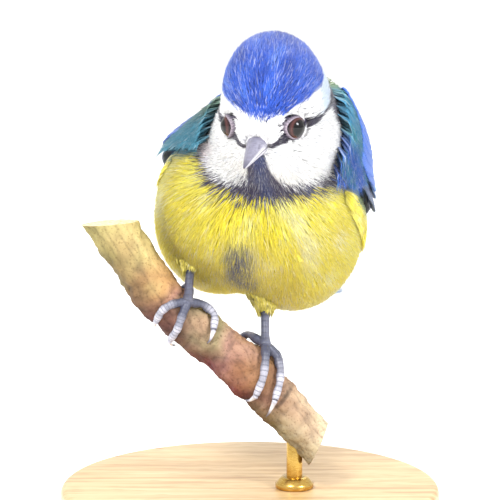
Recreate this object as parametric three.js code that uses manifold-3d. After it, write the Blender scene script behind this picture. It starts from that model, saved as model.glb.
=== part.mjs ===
// A blue tit at life size, perched on a short cut length of branch that a plain display stand holds.
// Millimetres, +Z up. The origin is the centre of the base's underside, and the bird faces -Y, so its
// left side is +X. Solids that touch keep GAP between them.
import * as THREE from "three";
import { mergeVertices } from "three/addons/utils/BufferGeometryUtils.js";
import Module from "manifold-3d";

const wasm = await Module();
wasm.setup();

const { lerp, smoothstep, degToRad } = THREE.MathUtils;
const GAP = 0.3;
const SIDES = { left: 1, right: -1 };

// Where the bird's parts stand. A frame's own axes are forward, left and up, and its angles are degrees.
const TORSO = frameAt({ at: [2.4, 5.5, 60], yaw: -8, noseDown: -30, lean: 11.5 });
const HEAD = frameAt({ at: [4, -13.5, 78.9], yaw: -18, noseDown: 20, lean: 0 });

// Rounded masses of the feathered bird, each by its centre and half sizes along forward, left and up.
const HEAD_MASSES = [
  { name: "cranium", at: [-1.5, 0, 1], half: [9.6, 9.2, 9.5] },
  { name: "crown", at: [-2.5, 0, 5.6], half: [8.8, 8.2, 8.6] },
  { name: "cheek left", at: [-1, 5.4, -5.8], half: [8, 5.9, 6] },
  { name: "cheek right", at: [-1, -5.2, -5.8], half: [7.8, 5.7, 6] },
  { name: "face", at: [5.8, 0, -1.4], half: [5.6, 4.2, 4.6] },
  { name: "chin", at: [3.5, 0, -6.4], half: [6.4, 5, 4.6] },
  { name: "nape", at: [-7.5, 0, -1], half: [7, 8.4, 8.6] },
];
const TORSO_MASSES = [
  { name: "neck", at: [15.5, 2.4, 5.4], half: [11, 12, 12.2] },
  { name: "shoulder left", at: [9.5, 6.4, 6], half: [11.5, 10, 11] },
  { name: "mantle left", at: [15, 6.8, 10.4], half: [8, 5.6, 8.2] },
  { name: "shoulder right", at: [8, -3.4, 3], half: [10.2, 8.3, 8.9] },
  { name: "breast", at: [6, 0, -2.4], half: [14.5, 18, 15.8] },
  { name: "flank left", at: [-3, 7, -3], half: [16.5, 13, 15.2] },
  { name: "flank right", at: [-3, -7.4, -2.8], half: [16.5, 13.2, 15.2] },
  { name: "back", at: [-4, 0, 3], half: [18, 13.5, 12.4] },
  { name: "rump", at: [-17, 0, 2.6], half: [10, 8, 6.4] },
  { name: "vent", at: [-15, 0, -2.8], half: [10.5, 8, 6.4] },
  { name: "tail base", at: [-26, 0, 4.2], half: [9, 5, 2.7] },
];
const MELT = 1.3; // how far two masses run into each other

// Cuts between head, neck, torso and tail, as distances along the line that each one crosses.
const NECK_TOP = 8.6; // from the head's centre towards the torso
const NECK_LENGTH = 3.4;
const TAIL_CUT = -21; // along the torso's forward axis

// A frame from a place, a turn about the vertical, a nod about the left axis, and a lean to the left.
function frameAt({ at, yaw, noseDown, lean }) {
  const turned = new THREE.Matrix4().makeRotationZ(degToRad(yaw));
  turned.multiply(new THREE.Matrix4().makeRotationX(degToRad(noseDown)));
  turned.multiply(new THREE.Matrix4().makeRotationY(degToRad(lean)));
  const facing = new THREE.Matrix4().makeBasis(
    new THREE.Vector3(0, -1, 0),
    new THREE.Vector3(1, 0, 0),
    new THREE.Vector3(0, 0, 1),
  );
  return turned.multiply(facing).setPosition(...at);
}

// A point given by forward, left and up distances in a frame.
function place(frame, forward, left, up) {
  return new THREE.Vector3(forward, left, up).applyMatrix4(frame);
}

// A direction given by forward, left and up parts in a frame.
function heading(frame, forward, left, up) {
  return new THREE.Vector3(forward, left, up).transformDirection(frame);
}

// The masses with the matrix that takes a point into each one's own frame.
function located(frame, masses) {
  const back = frame.clone().invert();
  return masses.map(({ at, half }) => ({ back, at, half }));
}

// A signed distance to one mass, near enough for blending.
function distanceTo({ back, at, half }, point) {
  const p = point.clone().applyMatrix4(back);
  const x = p.x - at[0];
  const y = p.y - at[1];
  const z = p.z - at[2];
  const near = Math.hypot(x / half[0], y / half[1], z / half[2]);
  const steep = Math.hypot(x / half[0] ** 2, y / half[1] ** 2, z / half[2] ** 2);
  return steep < 1e-9 ? -Math.min(...half) : (near * (near - 1)) / steep;
}

// A field that is below 0 inside the masses, melted together.
function melted(masses) {
  return (point) => {
    let sum = 0;
    for (const mass of masses) sum += Math.exp(-distanceTo(mass, point) / MELT);
    return -MELT * Math.log(sum);
  };
}

const BIRD_MASSES = [...located(HEAD, HEAD_MASSES), ...located(TORSO, TORSO_MASSES)];
const birdField = melted(BIRD_MASSES);

// How far from a point the field first reaches 0 along a direction.
function reach(from, direction, field) {
  const STEP = 0.8;
  const at = (far) => field(from.clone().addScaledVector(direction, far));
  let far = 0;
  while (at(far) < 0) far += STEP;
  let near = far - STEP;
  for (let halving = 0; halving < 14; halving++) {
    const middle = (near + far) / 2;
    if (at(middle) < 0) near = middle;
    else far = middle;
  }
  return near;
}

// A solid from a geometry, with its faces turned outwards.
function solidOf(geometry) {
  const bare = new THREE.BufferGeometry();
  bare.setAttribute("position", geometry.getAttribute("position"));
  bare.setIndex(geometry.index);
  const merged = mergeVertices(bare, 1e-4);
  const vertProperties = new Float32Array(merged.attributes.position.array);
  const triVerts = new Uint32Array(merged.index.array);
  const made = new wasm.Manifold(new wasm.Mesh({ numProp: 3, vertProperties, triVerts }));
  if (made.volume() > 0) return made;
  for (let i = 0; i < triVerts.length; i += 3) {
    [triVerts[i + 1], triVerts[i + 2]] = [triVerts[i + 2], triVerts[i + 1]];
  }
  return new wasm.Manifold(new wasm.Mesh({ numProp: 3, vertProperties, triVerts }));
}

function joined(solids) {
  return solids.reduce((all, next) => all.add(next));
}

function without(solid, ...tools) {
  return tools.reduce((left, tool) => left.subtract(tool), solid);
}

// The largest closed body of a solid, as its own solid.
function largest(solid) {
  return solid.decompose().reduce((best, next) => (next.volume() > best.volume() ? next : best));
}

// A closed body round a centre, whose surface is where the field is 0.
function bodyAround(centre, field, detail) {
  const ball = new THREE.IcosahedronGeometry(1, detail);
  ball.deleteAttribute("normal");
  ball.deleteAttribute("uv");
  const skin = mergeVertices(ball, 1e-5);
  const spots = skin.getAttribute("position");
  const direction = new THREE.Vector3();
  for (let i = 0; i < spots.count; i++) {
    direction.fromBufferAttribute(spots, i).normalize();
    const far = reach(centre, direction, field);
    const spot = centre.clone().addScaledVector(direction, far);
    spots.setXYZ(i, spot.x, spot.y, spot.z);
  }
  return solidOf(skin);
}

// A closed sheet between an outer and an inner surface, each a function of u and v from 0 to 1.
function sheetSolid(outer, inner, stepsU, stepsV) {
  const row = stepsV + 1;
  const layer = (stepsU + 1) * row;
  const points = [];
  for (const surface of [outer, inner]) {
    for (let i = 0; i <= stepsU; i++) {
      for (let j = 0; j <= stepsV; j++) points.push(surface(i / stepsU, j / stepsV));
    }
  }
  const faces = [];
  for (let i = 0; i < stepsU; i++) {
    for (let j = 0; j < stepsV; j++) {
      const a = i * row + j;
      const [b, c, d] = [a + 1, a + row, a + row + 1];
      faces.push(a, b, d, a, d, c);
      faces.push(layer + a, layer + d, layer + b, layer + a, layer + c, layer + d);
    }
  }
  const rim = [];
  for (let j = 0; j < stepsV; j++) rim.push(j);
  for (let i = 0; i < stepsU; i++) rim.push(i * row + stepsV);
  for (let j = stepsV; j > 0; j--) rim.push(stepsU * row + j);
  for (let i = stepsU; i > 0; i--) rim.push(i * row);
  rim.forEach((a, k) => {
    const b = rim[(k + 1) % rim.length];
    faces.push(a, layer + a, layer + b, a, layer + b, b);
  });
  const geometry = new THREE.BufferGeometry().setFromPoints(points);
  geometry.setIndex(faces);
  return solidOf(geometry);
}

// A closed round limb along a path of points, its radius a function of the share of the length.
function limb(points, radiusAt, rings, sides, flatten = 1) {
  const path = new THREE.CatmullRomCurve3(points, false, "centripetal");
  const frames = path.computeFrenetFrames(rings, false);
  const spots = [];
  for (let i = 0; i <= rings; i++) {
    const share = i / rings;
    const centre = path.getPointAt(share);
    for (let j = 0; j < sides; j++) {
      const turn = (j / sides) * Math.PI * 2;
      const spot = centre.clone();
      spot.addScaledVector(frames.normals[i], Math.cos(turn) * radiusAt(share, turn));
      spot.addScaledVector(frames.binormals[i], Math.sin(turn) * radiusAt(share, turn) * flatten);
      spots.push(spot);
    }
  }
  const start = spots.length;
  spots.push(path.getPointAt(0).addScaledVector(frames.tangents[0], -radiusAt(0, 0) * 0.5));
  spots.push(path.getPointAt(1).addScaledVector(frames.tangents[rings], radiusAt(1, 0) * 0.5));
  const faces = [];
  for (let j = 0; j < sides; j++) {
    const next = (j + 1) % sides;
    for (let i = 0; i < rings; i++) {
      const [a, b] = [i * sides + j, i * sides + next];
      const [c, d] = [a + sides, b + sides];
      faces.push(a, b, d, a, d, c);
    }
    faces.push(start, next, j);
    faces.push(start + 1, rings * sides + j, rings * sides + next);
  }
  const geometry = new THREE.BufferGeometry().setFromPoints(spots);
  geometry.setIndex(faces);
  return solidOf(geometry);
}

// A ball with its own half sizes, in a frame.
function ball(frame, at, half, across = 20, down = 14) {
  const geometry = new THREE.SphereGeometry(1, across, down);
  geometry.scale(...half);
  geometry.translate(...at);
  geometry.applyMatrix4(frame);
  geometry.deleteAttribute("normal");
  geometry.deleteAttribute("uv");
  return solidOf(geometry);
}

// Head, neck, torso and tail base: one feathered form, parted by thin flat cuts.
const headCentre = place(HEAD, 0, 0, 0);
const torsoCentre = place(TORSO, 0, 0, 0);
const neckwards = headCentre.clone().sub(torsoCentre).normalize();
const tailwards = heading(TORSO, -1, 0, 0);
const neckCentre = headCentre.clone().addScaledVector(neckwards, -NECK_TOP - NECK_LENGTH / 2);

// The part of a solid on the far side of a plane through a point.
function beyond(solid, normal, point, shift) {
  return solid.trimByPlane(normal.toArray(), normal.dot(point) + shift);
}

const away = (vector) => vector.clone().negate();
const tailPoint = place(TORSO, TAIL_CUT, 0, 0);
const grownField = (point) => birdField(point) - GAP;

const headForm = beyond(bodyAround(headCentre, birdField, 6), neckwards, headCentre, -NECK_TOP);
const neckForm = beyond(
  beyond(bodyAround(neckCentre, birdField, 5), away(neckwards), headCentre, NECK_TOP + GAP),
  neckwards,
  headCentre,
  -NECK_TOP - NECK_LENGTH,
);
const torsoForm = beyond(
  beyond(
    bodyAround(torsoCentre, birdField, 7),
    away(neckwards),
    headCentre,
    NECK_TOP + NECK_LENGTH + GAP,
  ),
  away(tailwards),
  tailPoint,
  0,
);
const torsoGrown = bodyAround(torsoCentre, grownField, 7);
const headGrown = bodyAround(headCentre, grownField, 6);

// Bill: two horn shells that meet along the line of the mouth.
const BILL = {
  root: 8.4, // forward of the head's centre, under the feathers
  tip: 18.2,
  level: -2.1, // the line of the mouth, up from the head's centre
  halfWidth: 2.4,
  upperHeight: 2.6,
  lowerDepth: 1.7,
  hook: 0.5, // how far the tip curves down
};

function billShell(top, grow) {
  const STEPS_LONG = 8;
  const STEPS_ROUND = 7;
  const length = BILL.tip - BILL.root - (top ? 0 : 0.5);
  const rise = top ? 1 : -1;
  const height = top ? BILL.upperHeight : BILL.lowerDepth;
  const surface = (bulge) => (u, v) => {
    const taper = (1 - u * 0.98) ** 0.62 * (1 - 0.25 * u);
    const turn = Math.PI * v;
    const across = Math.cos(turn) * (BILL.halfWidth * taper + grow);
    const round = Math.max(Math.sin(turn), 0);
    const ridge = bulge ? round ** 0.8 * height * taper + round ** 0.25 * 2 * grow : 0;
    const mouth = BILL.level - BILL.hook * u ** 2.4 + rise * (GAP / 2 - grow);
    return place(HEAD, BILL.root - grow * (1 - u) + u * length, across, mouth + rise * ridge);
  };
  return sheetSolid(surface(true), surface(false), STEPS_LONG, STEPS_ROUND);
}

const nostrils = Object.values(SIDES).map((side) =>
  ball(HEAD, [BILL.root + 3.6, side * 1.8, BILL.level + 1.2], [0.6, 0.42, 0.32], 8, 6),
);
const billUpper = without(billShell(true, 0), ...nostrils);
const billLower = billShell(false, 0);

// Eyes: a ball in a socket on each side, with lids raised round it.
const EYE = { level: [5, -0.4], radius: 2.35, faces: [0.46, 0.88, 0.06], sunk: 1.2, lid: 0.42 };

function eyeParts(side) {
  const outward = heading(HEAD, EYE.faces[0], side * EYE.faces[1], EYE.faces[2]);
  const within = place(HEAD, EYE.level[0] - 2, 0, EYE.level[1]);
  const centre = within.clone().addScaledVector(outward, reach(within, outward, birdField) - EYE.sunk);
  const spot = new THREE.Matrix4().setPosition(centre);
  const sphere = (grow) => ball(spot, [0, 0, 0], Array(3).fill(EYE.radius + grow), 14, 9);
  const turn = new THREE.Quaternion().setFromUnitVectors(new THREE.Vector3(0, 0, 1), outward);
  const lids = new THREE.TorusGeometry(EYE.radius * 0.92, EYE.lid, 4, 14);
  lids.applyQuaternion(turn);
  lids.translate(...centre.clone().addScaledVector(outward, EYE.sunk + 0.1));
  lids.deleteAttribute("normal");
  lids.deleteAttribute("uv");
  return { eyeball: sphere(0), socket: sphere(GAP), lids: solidOf(lids) };
}

const eyes = { left: eyeParts(SIDES.left), right: eyeParts(SIDES.right) };
const mouthCorners = ball(HEAD, [9, 0, BILL.level], [3, 4.6, 0.2], 10, 4);
const head = largest(
  without(
    joined([headForm, eyes.left.lids, eyes.right.lids]),
    eyes.left.socket,
    eyes.right.socket,
    billShell(true, GAP),
    billShell(false, GAP),
    mouthCorners,
  ),
);

// Wings and tail lie on a bed: the bird's own surface, with a smooth fairing over the rump and tail.
const FAIRING = { name: "fairing", at: [-28, 0, 3.4], half: [24, 9.5, 4.6] };
const bedField = melted([...BIRD_MASSES, ...located(TORSO, [FAIRING])]);
const LAY = 0.75; // clearance between the bed and what lies on it

// A point at a height over the bed, by its place along the torso and its angle down from the ridge.
function overBed(forward, angle, height, side) {
  const spine = 4 * smoothstep(-forward, 4, 26);
  const from = place(TORSO, forward, 0, spine);
  const turn = degToRad(angle);
  const out = heading(TORSO, 0, side * Math.sin(turn), Math.cos(turn));
  return from.addScaledVector(out, reach(from, out, bedField) + LAY + height);
}

// Half the width of a vane at a share of its length, as a share of its widest: narrow root, round tip.
function vaneOutline(share, bluntness) {
  const widening = lerp(0.45, 1, smoothstep(share, 0, 0.4));
  const rounding = share > bluntness ? ((share - bluntness) / (1 - bluntness)) ** 2 : 0;
  return widening * Math.sqrt(Math.max(1 - rounding * 0.94, 0));
}

// One vane on the bed. Its lower edge lies over its neighbour below, and its upper edge slips under.
function wingVane(spec, side) {
  const { root, tip, width, rootHeight, tipHeight, tilt = 0.35, steps = 5 } = spec;
  const THICK = 0.55;
  const BED_RADIUS = 13;
  const surface = (layer) => (u, v) => {
    const share = u ** 0.85;
    const across = v * 2 - 1;
    const forward = lerp(root[0], tip[0], share);
    const spread = ((width / 2) * vaneOutline(share, 0.72)) / BED_RADIUS;
    const narrowing = lerp(1, 1.5, smoothstep(-forward, 14, 40));
    const angle = lerp(root[1], tip[1], share) + across * spread * narrowing * (180 / Math.PI);
    const height = lerp(rootHeight, tipHeight, share) + tilt * across * smoothstep(share, 0, 0.3);
    return overBed(forward, angle, height + layer * lerp(THICK, THICK * 0.7, share), side);
  };
  return sheetSolid(surface(1), surface(0), steps, 2);
}

// A row of vanes whose roots and tips step evenly from the first to the last.
function vaneRow({ count, first, last, ...shared }, side) {
  return Array.from({ length: count }, (_, i) => {
    const share = count > 1 ? i / (count - 1) : 0;
    const between = (key) => first[key].map((value, k) => lerp(value, last[key][k], share));
    const width = lerp(first.width, last.width, share);
    return wingVane({ ...shared, root: between("root"), tip: between("tip"), width }, side);
  });
}

// The rows of a folded wing, from the outermost primary up to the tertials, and the coverts over them.
// Places are [forward, angle from the back's ridge].
const WING_ROWS = [
  {
    name: "primaries",
    count: 6,
    first: { root: [0, 72], tip: [-37, 44], width: 4.8 },
    last: { root: [-2, 56], tip: [-31, 30], width: 5 },
    rootHeight: 0.3,
    tipHeight: 0.4,
    steps: 4,
  },
  {
    name: "secondaries",
    count: 4,
    first: { root: [-1, 58], tip: [-28, 32], width: 6.2 },
    last: { root: [0, 42], tip: [-24, 22], width: 6 },
    rootHeight: 0.9,
    tipHeight: 0.9,
    steps: 4,
  },
  {
    name: "tertials",
    count: 3,
    first: { root: [2, 42], tip: [-21, 26], width: 6 },
    last: { root: [4, 28], tip: [-15, 18], width: 6 },
    rootHeight: 1.4,
    tipHeight: 1.4,
    steps: 3,
  },
  {
    name: "primary coverts",
    count: 3,
    first: { root: [10, 73], tip: [-6, 70], width: 4 },
    last: { root: [8, 66], tip: [-5, 62], width: 4.2 },
    rootHeight: 0.8,
    tipHeight: 0.9,
    steps: 2,
  },
  {
    name: "greater coverts",
    count: 5,
    first: { root: [7, 64], tip: [-6, 60], width: 5.4 },
    last: { root: [8, 34], tip: [-4, 28], width: 5.6 },
    rootHeight: 1.4,
    tipHeight: 1.6,
    steps: 2,
  },
  {
    name: "median coverts",
    count: 4,
    first: { root: [11, 64], tip: [0.5, 61], width: 6 },
    last: { root: [11, 38], tip: [1.5, 34], width: 6 },
    rootHeight: 1.5,
    tipHeight: 1.9,
    steps: 2,
  },
];

// The covered arm of the wing, a low dome that the rows grow from.
function wingArm(side) {
  const FRONT = 17.5;
  const REAR = -4;
  const surface = (top) => (u, v) => {
    const across = v * 2 - 1;
    const edge = Math.sqrt(Math.max(1 - (2 * u - 1) ** 4, 0.02));
    const dome = Math.sqrt(Math.max((1 - across ** 4) * (1 - (2 * u - 1) ** 4), 0));
    const angle = 50 + across * 25 * edge;
    return overBed(lerp(FRONT, REAR, u), angle, top ? 0.5 + 1.4 * dome : 0, side);
  };
  return sheetSolid(surface(true), surface(false), 6, 5);
}

function wing(side) {
  const feathers = WING_ROWS.flatMap((row) => vaneRow(row, side));
  return largest(without(joined([wingArm(side), ...feathers]), headGrown, torsoGrown));
}

// Tail: twelve vanes fanned a little from under the coverts, the middle pair on top.
const TAIL = {
  frame: frameAt({ at: place(TORSO, TAIL_CUT, 0, 4).toArray(), yaw: -4, noseDown: -22, lean: 5 }),
  lengths: [47.5, 49, 50, 50.5, 50, 48.5], // from the cut, middle to outermost
  width: 6.2,
  thick: 0.5,
  step: 0.34, // from one vane down to the next
  fan: 1.5, // degrees between neighbours
};

function tailVane(index, side) {
  const rootAt = side * (0.7 + index * 0.42);
  const turn = degToRad(side * (0.3 + index * TAIL.fan));
  const level = -index * TAIL.step - (side > 0 ? 0 : TAIL.step / 2);
  const surface = (layer) => (u, v) => {
    const share = u ** 0.6;
    const across = (v * 2 - 1) * (TAIL.width / 2) * vaneOutline(share, 0.88);
    const along = lerp(-3, TAIL.lengths[index], share);
    const camber = 0.16 * (1 - (v * 2 - 1) ** 2);
    const left = rootAt + along * Math.sin(turn) + across * Math.cos(turn);
    const back = along * Math.cos(turn) - across * Math.sin(turn);
    return place(TAIL.frame, -back, left, level + camber + layer * TAIL.thick);
  };
  return sheetSolid(surface(1), surface(0), 3, 2);
}

// Coverts over and under the root of the tail.
function tailCovert(index, over) {
  const SPREAD = [-0.9, -0.3, 0.3, 0.9];
  const across = SPREAD[index];
  const surface = (layer) => (u, v) => {
    const along = lerp(-1, over ? 12 : 17, u ** 0.85) - 2.5 * across ** 2 * u;
    const left = across * 3.6 + (v * 2 - 1) * 2.4 * vaneOutline(u, 0.6);
    const start = over ? 2.3 - 0.9 * across ** 2 : -3.1 + 0.9 * across ** 2;
    const level = lerp(start, over ? 0.9 : -2.9, u) + (layer - 0.5) * 0.6;
    return place(TAIL.frame, -along, left, level);
  };
  return sheetSolid(surface(1), surface(0), 3, 2);
}

const tailRoot = beyond(
  bodyAround(place(TORSO, -25, 0, 4.2), birdField, 4),
  tailwards,
  tailPoint,
  GAP,
);
const tailFeathers = [];
for (let index = 0; index < TAIL.lengths.length; index++) {
  for (const side of Object.values(SIDES)) tailFeathers.push(tailVane(index, side));
}
for (let index = 0; index < 4; index++) {
  tailFeathers.push(tailCovert(index, true), tailCovert(index, false));
}
const tail = largest(beyond(joined([tailRoot, ...tailFeathers]), tailwards, tailPoint, GAP));

// Branch: a knobby length of wood that slopes down to the bird's left, sawn at both ends.
const BRANCH_DEPTH = -3.2;
const BRANCH_LINE = [
  { x: -28, z: 60.6, radius: 4.4 },
  { x: -20.4, z: 48.6, radius: 4.5 },
  { x: -14.8, z: 41.4, radius: 4.3 },
  { x: -6.5, z: 34.6, radius: 4.2 },
  { x: 0.2, z: 29.2, radius: 4.9 },
  { x: 5.6, z: 23.2, radius: 4.3 },
  { x: 14.6, z: 13.4, radius: 4 },
];
const SAWN_ENDS = [
  { at: [-26.5, BRANCH_DEPTH, 57.6], facing: [-0.07, 0, 1] },
  { at: [12.6, BRANCH_DEPTH, 15], facing: [0.9, 0, -0.43] },
];
const BRANCH_RINGS = 27;
const BRANCH_SIDES = 12;
const branchPath = new THREE.CatmullRomCurve3(
  BRANCH_LINE.map(({ x, z }) => new THREE.Vector3(x, BRANCH_DEPTH, z)),
);

function branchRadius(share) {
  const along = share * (BRANCH_LINE.length - 1);
  const before = Math.min(Math.floor(along), BRANCH_LINE.length - 2);
  return lerp(BRANCH_LINE[before].radius, BRANCH_LINE[before + 1].radius, along - before);
}

// Low swellings of the bark, by the share of the length and the turn round the branch.
function barkSwelling(share, turn) {
  const lengthwise = Math.sin(share * 31 + 2 * Math.sin(turn)) * 0.14;
  return lengthwise + Math.sin(3 * turn + share * 17) * 0.1 + Math.sin(share * 63 + turn) * 0.07;
}

// The branch's own directions at a share of its length: along it, up across it, and forward.
function branchFrame(share) {
  const along = branchPath.getTangent(share);
  const front = new THREE.Vector3(0, -1, 0);
  const top = new THREE.Vector3().crossVectors(front, along).normalize();
  return { centre: branchPath.getPoint(share), along, front, top };
}

// A point at a height over the bark; the turn is 0 on top and 90 degrees in front.
function onBranch(share, turn, height) {
  const { centre, front, top } = branchFrame(share);
  const far = branchRadius(share) + barkSwelling(share, degToRad(turn)) + height;
  centre.addScaledVector(top, Math.cos(degToRad(turn)) * far);
  return centre.addScaledVector(front, Math.sin(degToRad(turn)) * far);
}

function branchSolid(grow) {
  const spots = [];
  for (let i = 0; i <= BRANCH_RINGS; i++) {
    for (let j = 0; j < BRANCH_SIDES; j++) {
      spots.push(onBranch(i / BRANCH_RINGS, (j / BRANCH_SIDES) * 360, grow));
    }
  }
  const ends = spots.length;
  spots.push(branchFrame(0).centre, branchFrame(1).centre);
  const faces = [];
  for (let j = 0; j < BRANCH_SIDES; j++) {
    const next = (j + 1) % BRANCH_SIDES;
    for (let i = 0; i < BRANCH_RINGS; i++) {
      const [a, b] = [i * BRANCH_SIDES + j, i * BRANCH_SIDES + next];
      const [c, d] = [a + BRANCH_SIDES, b + BRANCH_SIDES];
      faces.push(a, b, d, a, d, c);
    }
    const last = BRANCH_RINGS * BRANCH_SIDES;
    faces.push(ends, next, j, ends + 1, last + j, last + next);
  }
  const geometry = new THREE.BufferGeometry().setFromPoints(spots);
  geometry.setIndex(faces);
  return SAWN_ENDS.reduce((wood, { at, facing }) => {
    const outward = new THREE.Vector3(...facing).normalize();
    return beyond(wood, away(outward), new THREE.Vector3(...at), 0);
  }, solidOf(geometry));
}

// Feet: each grips the branch with three toes over the front and one behind.
// A toe's stops are [turn round the branch, shift along it as a share of its length].
const FEET = {
  right: {
    share: 0.35,
    joint: 48,
    legTop: [-11, 0, 52],
    toes: {
      hind: [[14, -0.02], [-24, -0.03], [-66, -0.03], [-104, -0.02]],
      inner: [[26, 0.05], [30, 0.09], [58, 0.112], [92, 0.122]],
      middle: [[74, 0.014], [104, 0.03], [134, 0.036], [166, 0.06]],
      outer: [[76, -0.034], [98, -0.04], [124, -0.028], [152, -0.012]],
    },
  },
  left: {
    share: 0.635,
    joint: 14,
    legTop: [2.8, 2, 45],
    toes: {
      hind: [[-6, -0.035], [-34, -0.062], [-76, -0.068], [-112, -0.06]],
      inner: [[40, 0.022], [72, 0.06], [106, 0.096], [146, 0.088]],
      middle: [[16, 0.06], [46, 0.11], [84, 0.158], [130, 0.19]],
      outer: [[-6, 0.05], [-34, 0.085], [-72, 0.1], [-106, 0.096]],
    },
  },
};
const TOE = { thick: 0.86, thin: 0.66, pads: { hind: 2, inner: 3, middle: 4, outer: 4 } };
const CLAW = { root: 0.66, tip: 0.1 };
const TARSUS = { radius: 0.8, knob: 1.15 };

function toePoint(foot, [turn, shift], height) {
  return onBranch(foot.share + shift, turn, GAP + height);
}

function footJoint(foot) {
  return onBranch(foot.share, foot.joint, GAP + TARSUS.knob + 0.15);
}

function toeSolid(foot, name) {
  const stops = foot.toes[name].slice(0, 3);
  const points = [footJoint(foot), ...stops.map((stop) => toePoint(foot, stop, TOE.thick))];
  const pads = TOE.pads[name];
  const radius = (share) => {
    const swelling = 0.09 * Math.cos(share * pads * Math.PI * 2);
    return lerp(TOE.thick, TOE.thin, share) - swelling * smoothstep(share, 0.1, 0.3);
  };
  return limb(points, radius, 3 * pads, 6);
}

function clawSolid(foot, name) {
  const stops = foot.toes[name];
  const start = toePoint(foot, stops[2], TOE.thick);
  const before = toePoint(foot, stops[1], TOE.thick);
  const end = toePoint(foot, stops[3], 0.35);
  const ahead = start.clone().sub(before).normalize();
  const root = start.clone().addScaledVector(ahead, (TOE.thin + CLAW.root) * 0.5 + GAP);
  const middle = root.clone().lerp(end, 0.5).addScaledVector(ahead, 0.55);
  const radius = (share) => lerp(CLAW.root, CLAW.tip, share ** 0.8);
  return limb([root, middle, end], radius, 4, 6, 0.8);
}

const branchForm = branchSolid(0);
const branchGrown = branchSolid(GAP);

function footSolid(foot) {
  const knob = ball(
    new THREE.Matrix4().setPosition(footJoint(foot)),
    [0, 0, 0],
    Array(3).fill(TARSUS.knob),
    10,
    8,
  );
  const toes = Object.keys(foot.toes).map((name) => toeSolid(foot, name));
  return largest(without(joined([knob, ...toes]), branchGrown, tarsusSolid(foot, GAP)));
}

// The shank from the foot up into the belly feathers.
function tarsusLine(foot) {
  const joint = footJoint(foot);
  const top = new THREE.Vector3(...foot.legTop);
  const up = top.clone().sub(joint).normalize();
  return { joint, up, low: joint.clone().addScaledVector(up, TARSUS.knob + GAP - 0.1) };
}

const TARSUS_LENGTH = 9.5;
function tarsusSolid(foot, grow) {
  const { low, up } = tarsusLine(foot);
  const at = (far) => low.clone().addScaledVector(up, far);
  const radius = (share) => TARSUS.radius + grow + 0.25 * (2 * share - 1) ** 4;
  const points = [at(-grow), at(TARSUS_LENGTH / 2), at(TARSUS_LENGTH + grow)];
  return limb(points, radius, 7, 8);
}

// The feathered thigh, a tuft of the belly that the shank comes out of.
function thighSolid(foot) {
  const { low, up } = tarsusLine(foot);
  const at = (far) => low.clone().addScaledVector(up, far);
  const radius = (share) => lerp(1.4, 4.2, smoothstep(share, 0, 0.75));
  const tuft = limb([at(4.2), at(8), at(12)], radius, 4, 10);
  return without(tuft, torsoGrown, tarsusSolid(foot, GAP));
}

// Stand: a low round base with a collar, and one short rod up into the low end of the branch.
const BASE = { radius: 36, height: 7, edge: 1.2 };
const ROD = { at: [8.4, BRANCH_DEPTH], radius: 1.5, sunk: 4.6, into: 3.4 };
const COLLAR = { radius: 3.6, height: 2.2 };

function turned(profile, at, steps) {
  const geometry = new THREE.LatheGeometry(
    profile.map(([r, z]) => new THREE.Vector2(r, z)),
    steps,
  );
  geometry.rotateX(Math.PI / 2);
  geometry.translate(at[0], at[1], 0);
  geometry.deleteAttribute("normal");
  geometry.deleteAttribute("uv");
  return solidOf(geometry);
}

function rodBetween(low, high, radius) {
  return turned([[0, low], [radius, low], [radius, high], [0, high]], ROD.at, 20);
}

const branchAtRod = 0.905;
const rodTop = onBranch(branchAtRod, 180, 0).z + ROD.into;
const rodFoot = BASE.height - ROD.sunk;
const standRod = rodBetween(rodFoot + GAP, rodTop, ROD.radius);
const rodHole = rodBetween(rodFoot, rodTop + GAP, ROD.radius + GAP);
const standBase = without(
  turned(
    [
      [0, 0],
      [BASE.radius, 0],
      [BASE.radius, BASE.height - BASE.edge],
      [BASE.radius - BASE.edge * 0.3, BASE.height - BASE.edge * 0.3],
      [BASE.radius - BASE.edge, BASE.height],
      [0, BASE.height],
    ],
    [0, 0],
    48,
  ),
  rodHole,
);
const collarLow = BASE.height + GAP;
const standCollar = without(
  turned(
    [
      [0, collarLow],
      [COLLAR.radius, collarLow],
      [COLLAR.radius, collarLow + COLLAR.height * 0.5],
      [COLLAR.radius * 0.72, collarLow + COLLAR.height],
      [0, collarLow + COLLAR.height],
    ],
    ROD.at,
    24,
  ),
  rodHole,
);

// Finishes, by the part's colour, roughness and metalness.
function finish(color, roughness, metalness = 0) {
  return new THREE.MeshStandardMaterial({ color, roughness, metalness });
}

const FINISHES = {
  cap: finish(0x3f68c8, 0.8),
  collar: finish(0x3a3a52, 0.85),
  breast: finish(0xe6d640, 0.85),
  wing: finish(0x3f74a8, 0.7),
  tail: finish(0x3d70b4, 0.7),
  horn: finish(0x8b8d9c, 0.4),
  claw: finish(0x5a5c6a, 0.35),
  leg: finish(0x5f6478, 0.5),
  eye: finish(0x1a1210, 0.08),
  bark: finish(0xb59a5c, 0.9),
  base: finish(0xd9c7a3, 0.45),
  brass: finish(0xb8974e, 0.3, 1),
};

const bird = new THREE.Group();

function add(name, solid, material) {
  const { numProp, vertProperties, triVerts } = solid.getMesh();
  const spots = new Float32Array((vertProperties.length / numProp) * 3);
  for (let i = 0; i < spots.length / 3; i++) {
    spots.set(vertProperties.subarray(i * numProp, i * numProp + 3), i * 3);
  }
  const geometry = new THREE.BufferGeometry();
  geometry.setAttribute("position", new THREE.BufferAttribute(spots, 3));
  geometry.setIndex(new THREE.BufferAttribute(triVerts, 1));
  geometry.computeVertexNormals();
  const mesh = new THREE.Mesh(geometry, material);
  mesh.name = name;
  bird.add(mesh);
}

add("head", head, FINISHES.cap);
add("bill_upper", billUpper, FINISHES.horn);
add("bill_lower", billLower, FINISHES.horn);
add("neck", neckForm, FINISHES.collar);
add("tail", tail, FINISHES.tail);

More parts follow.
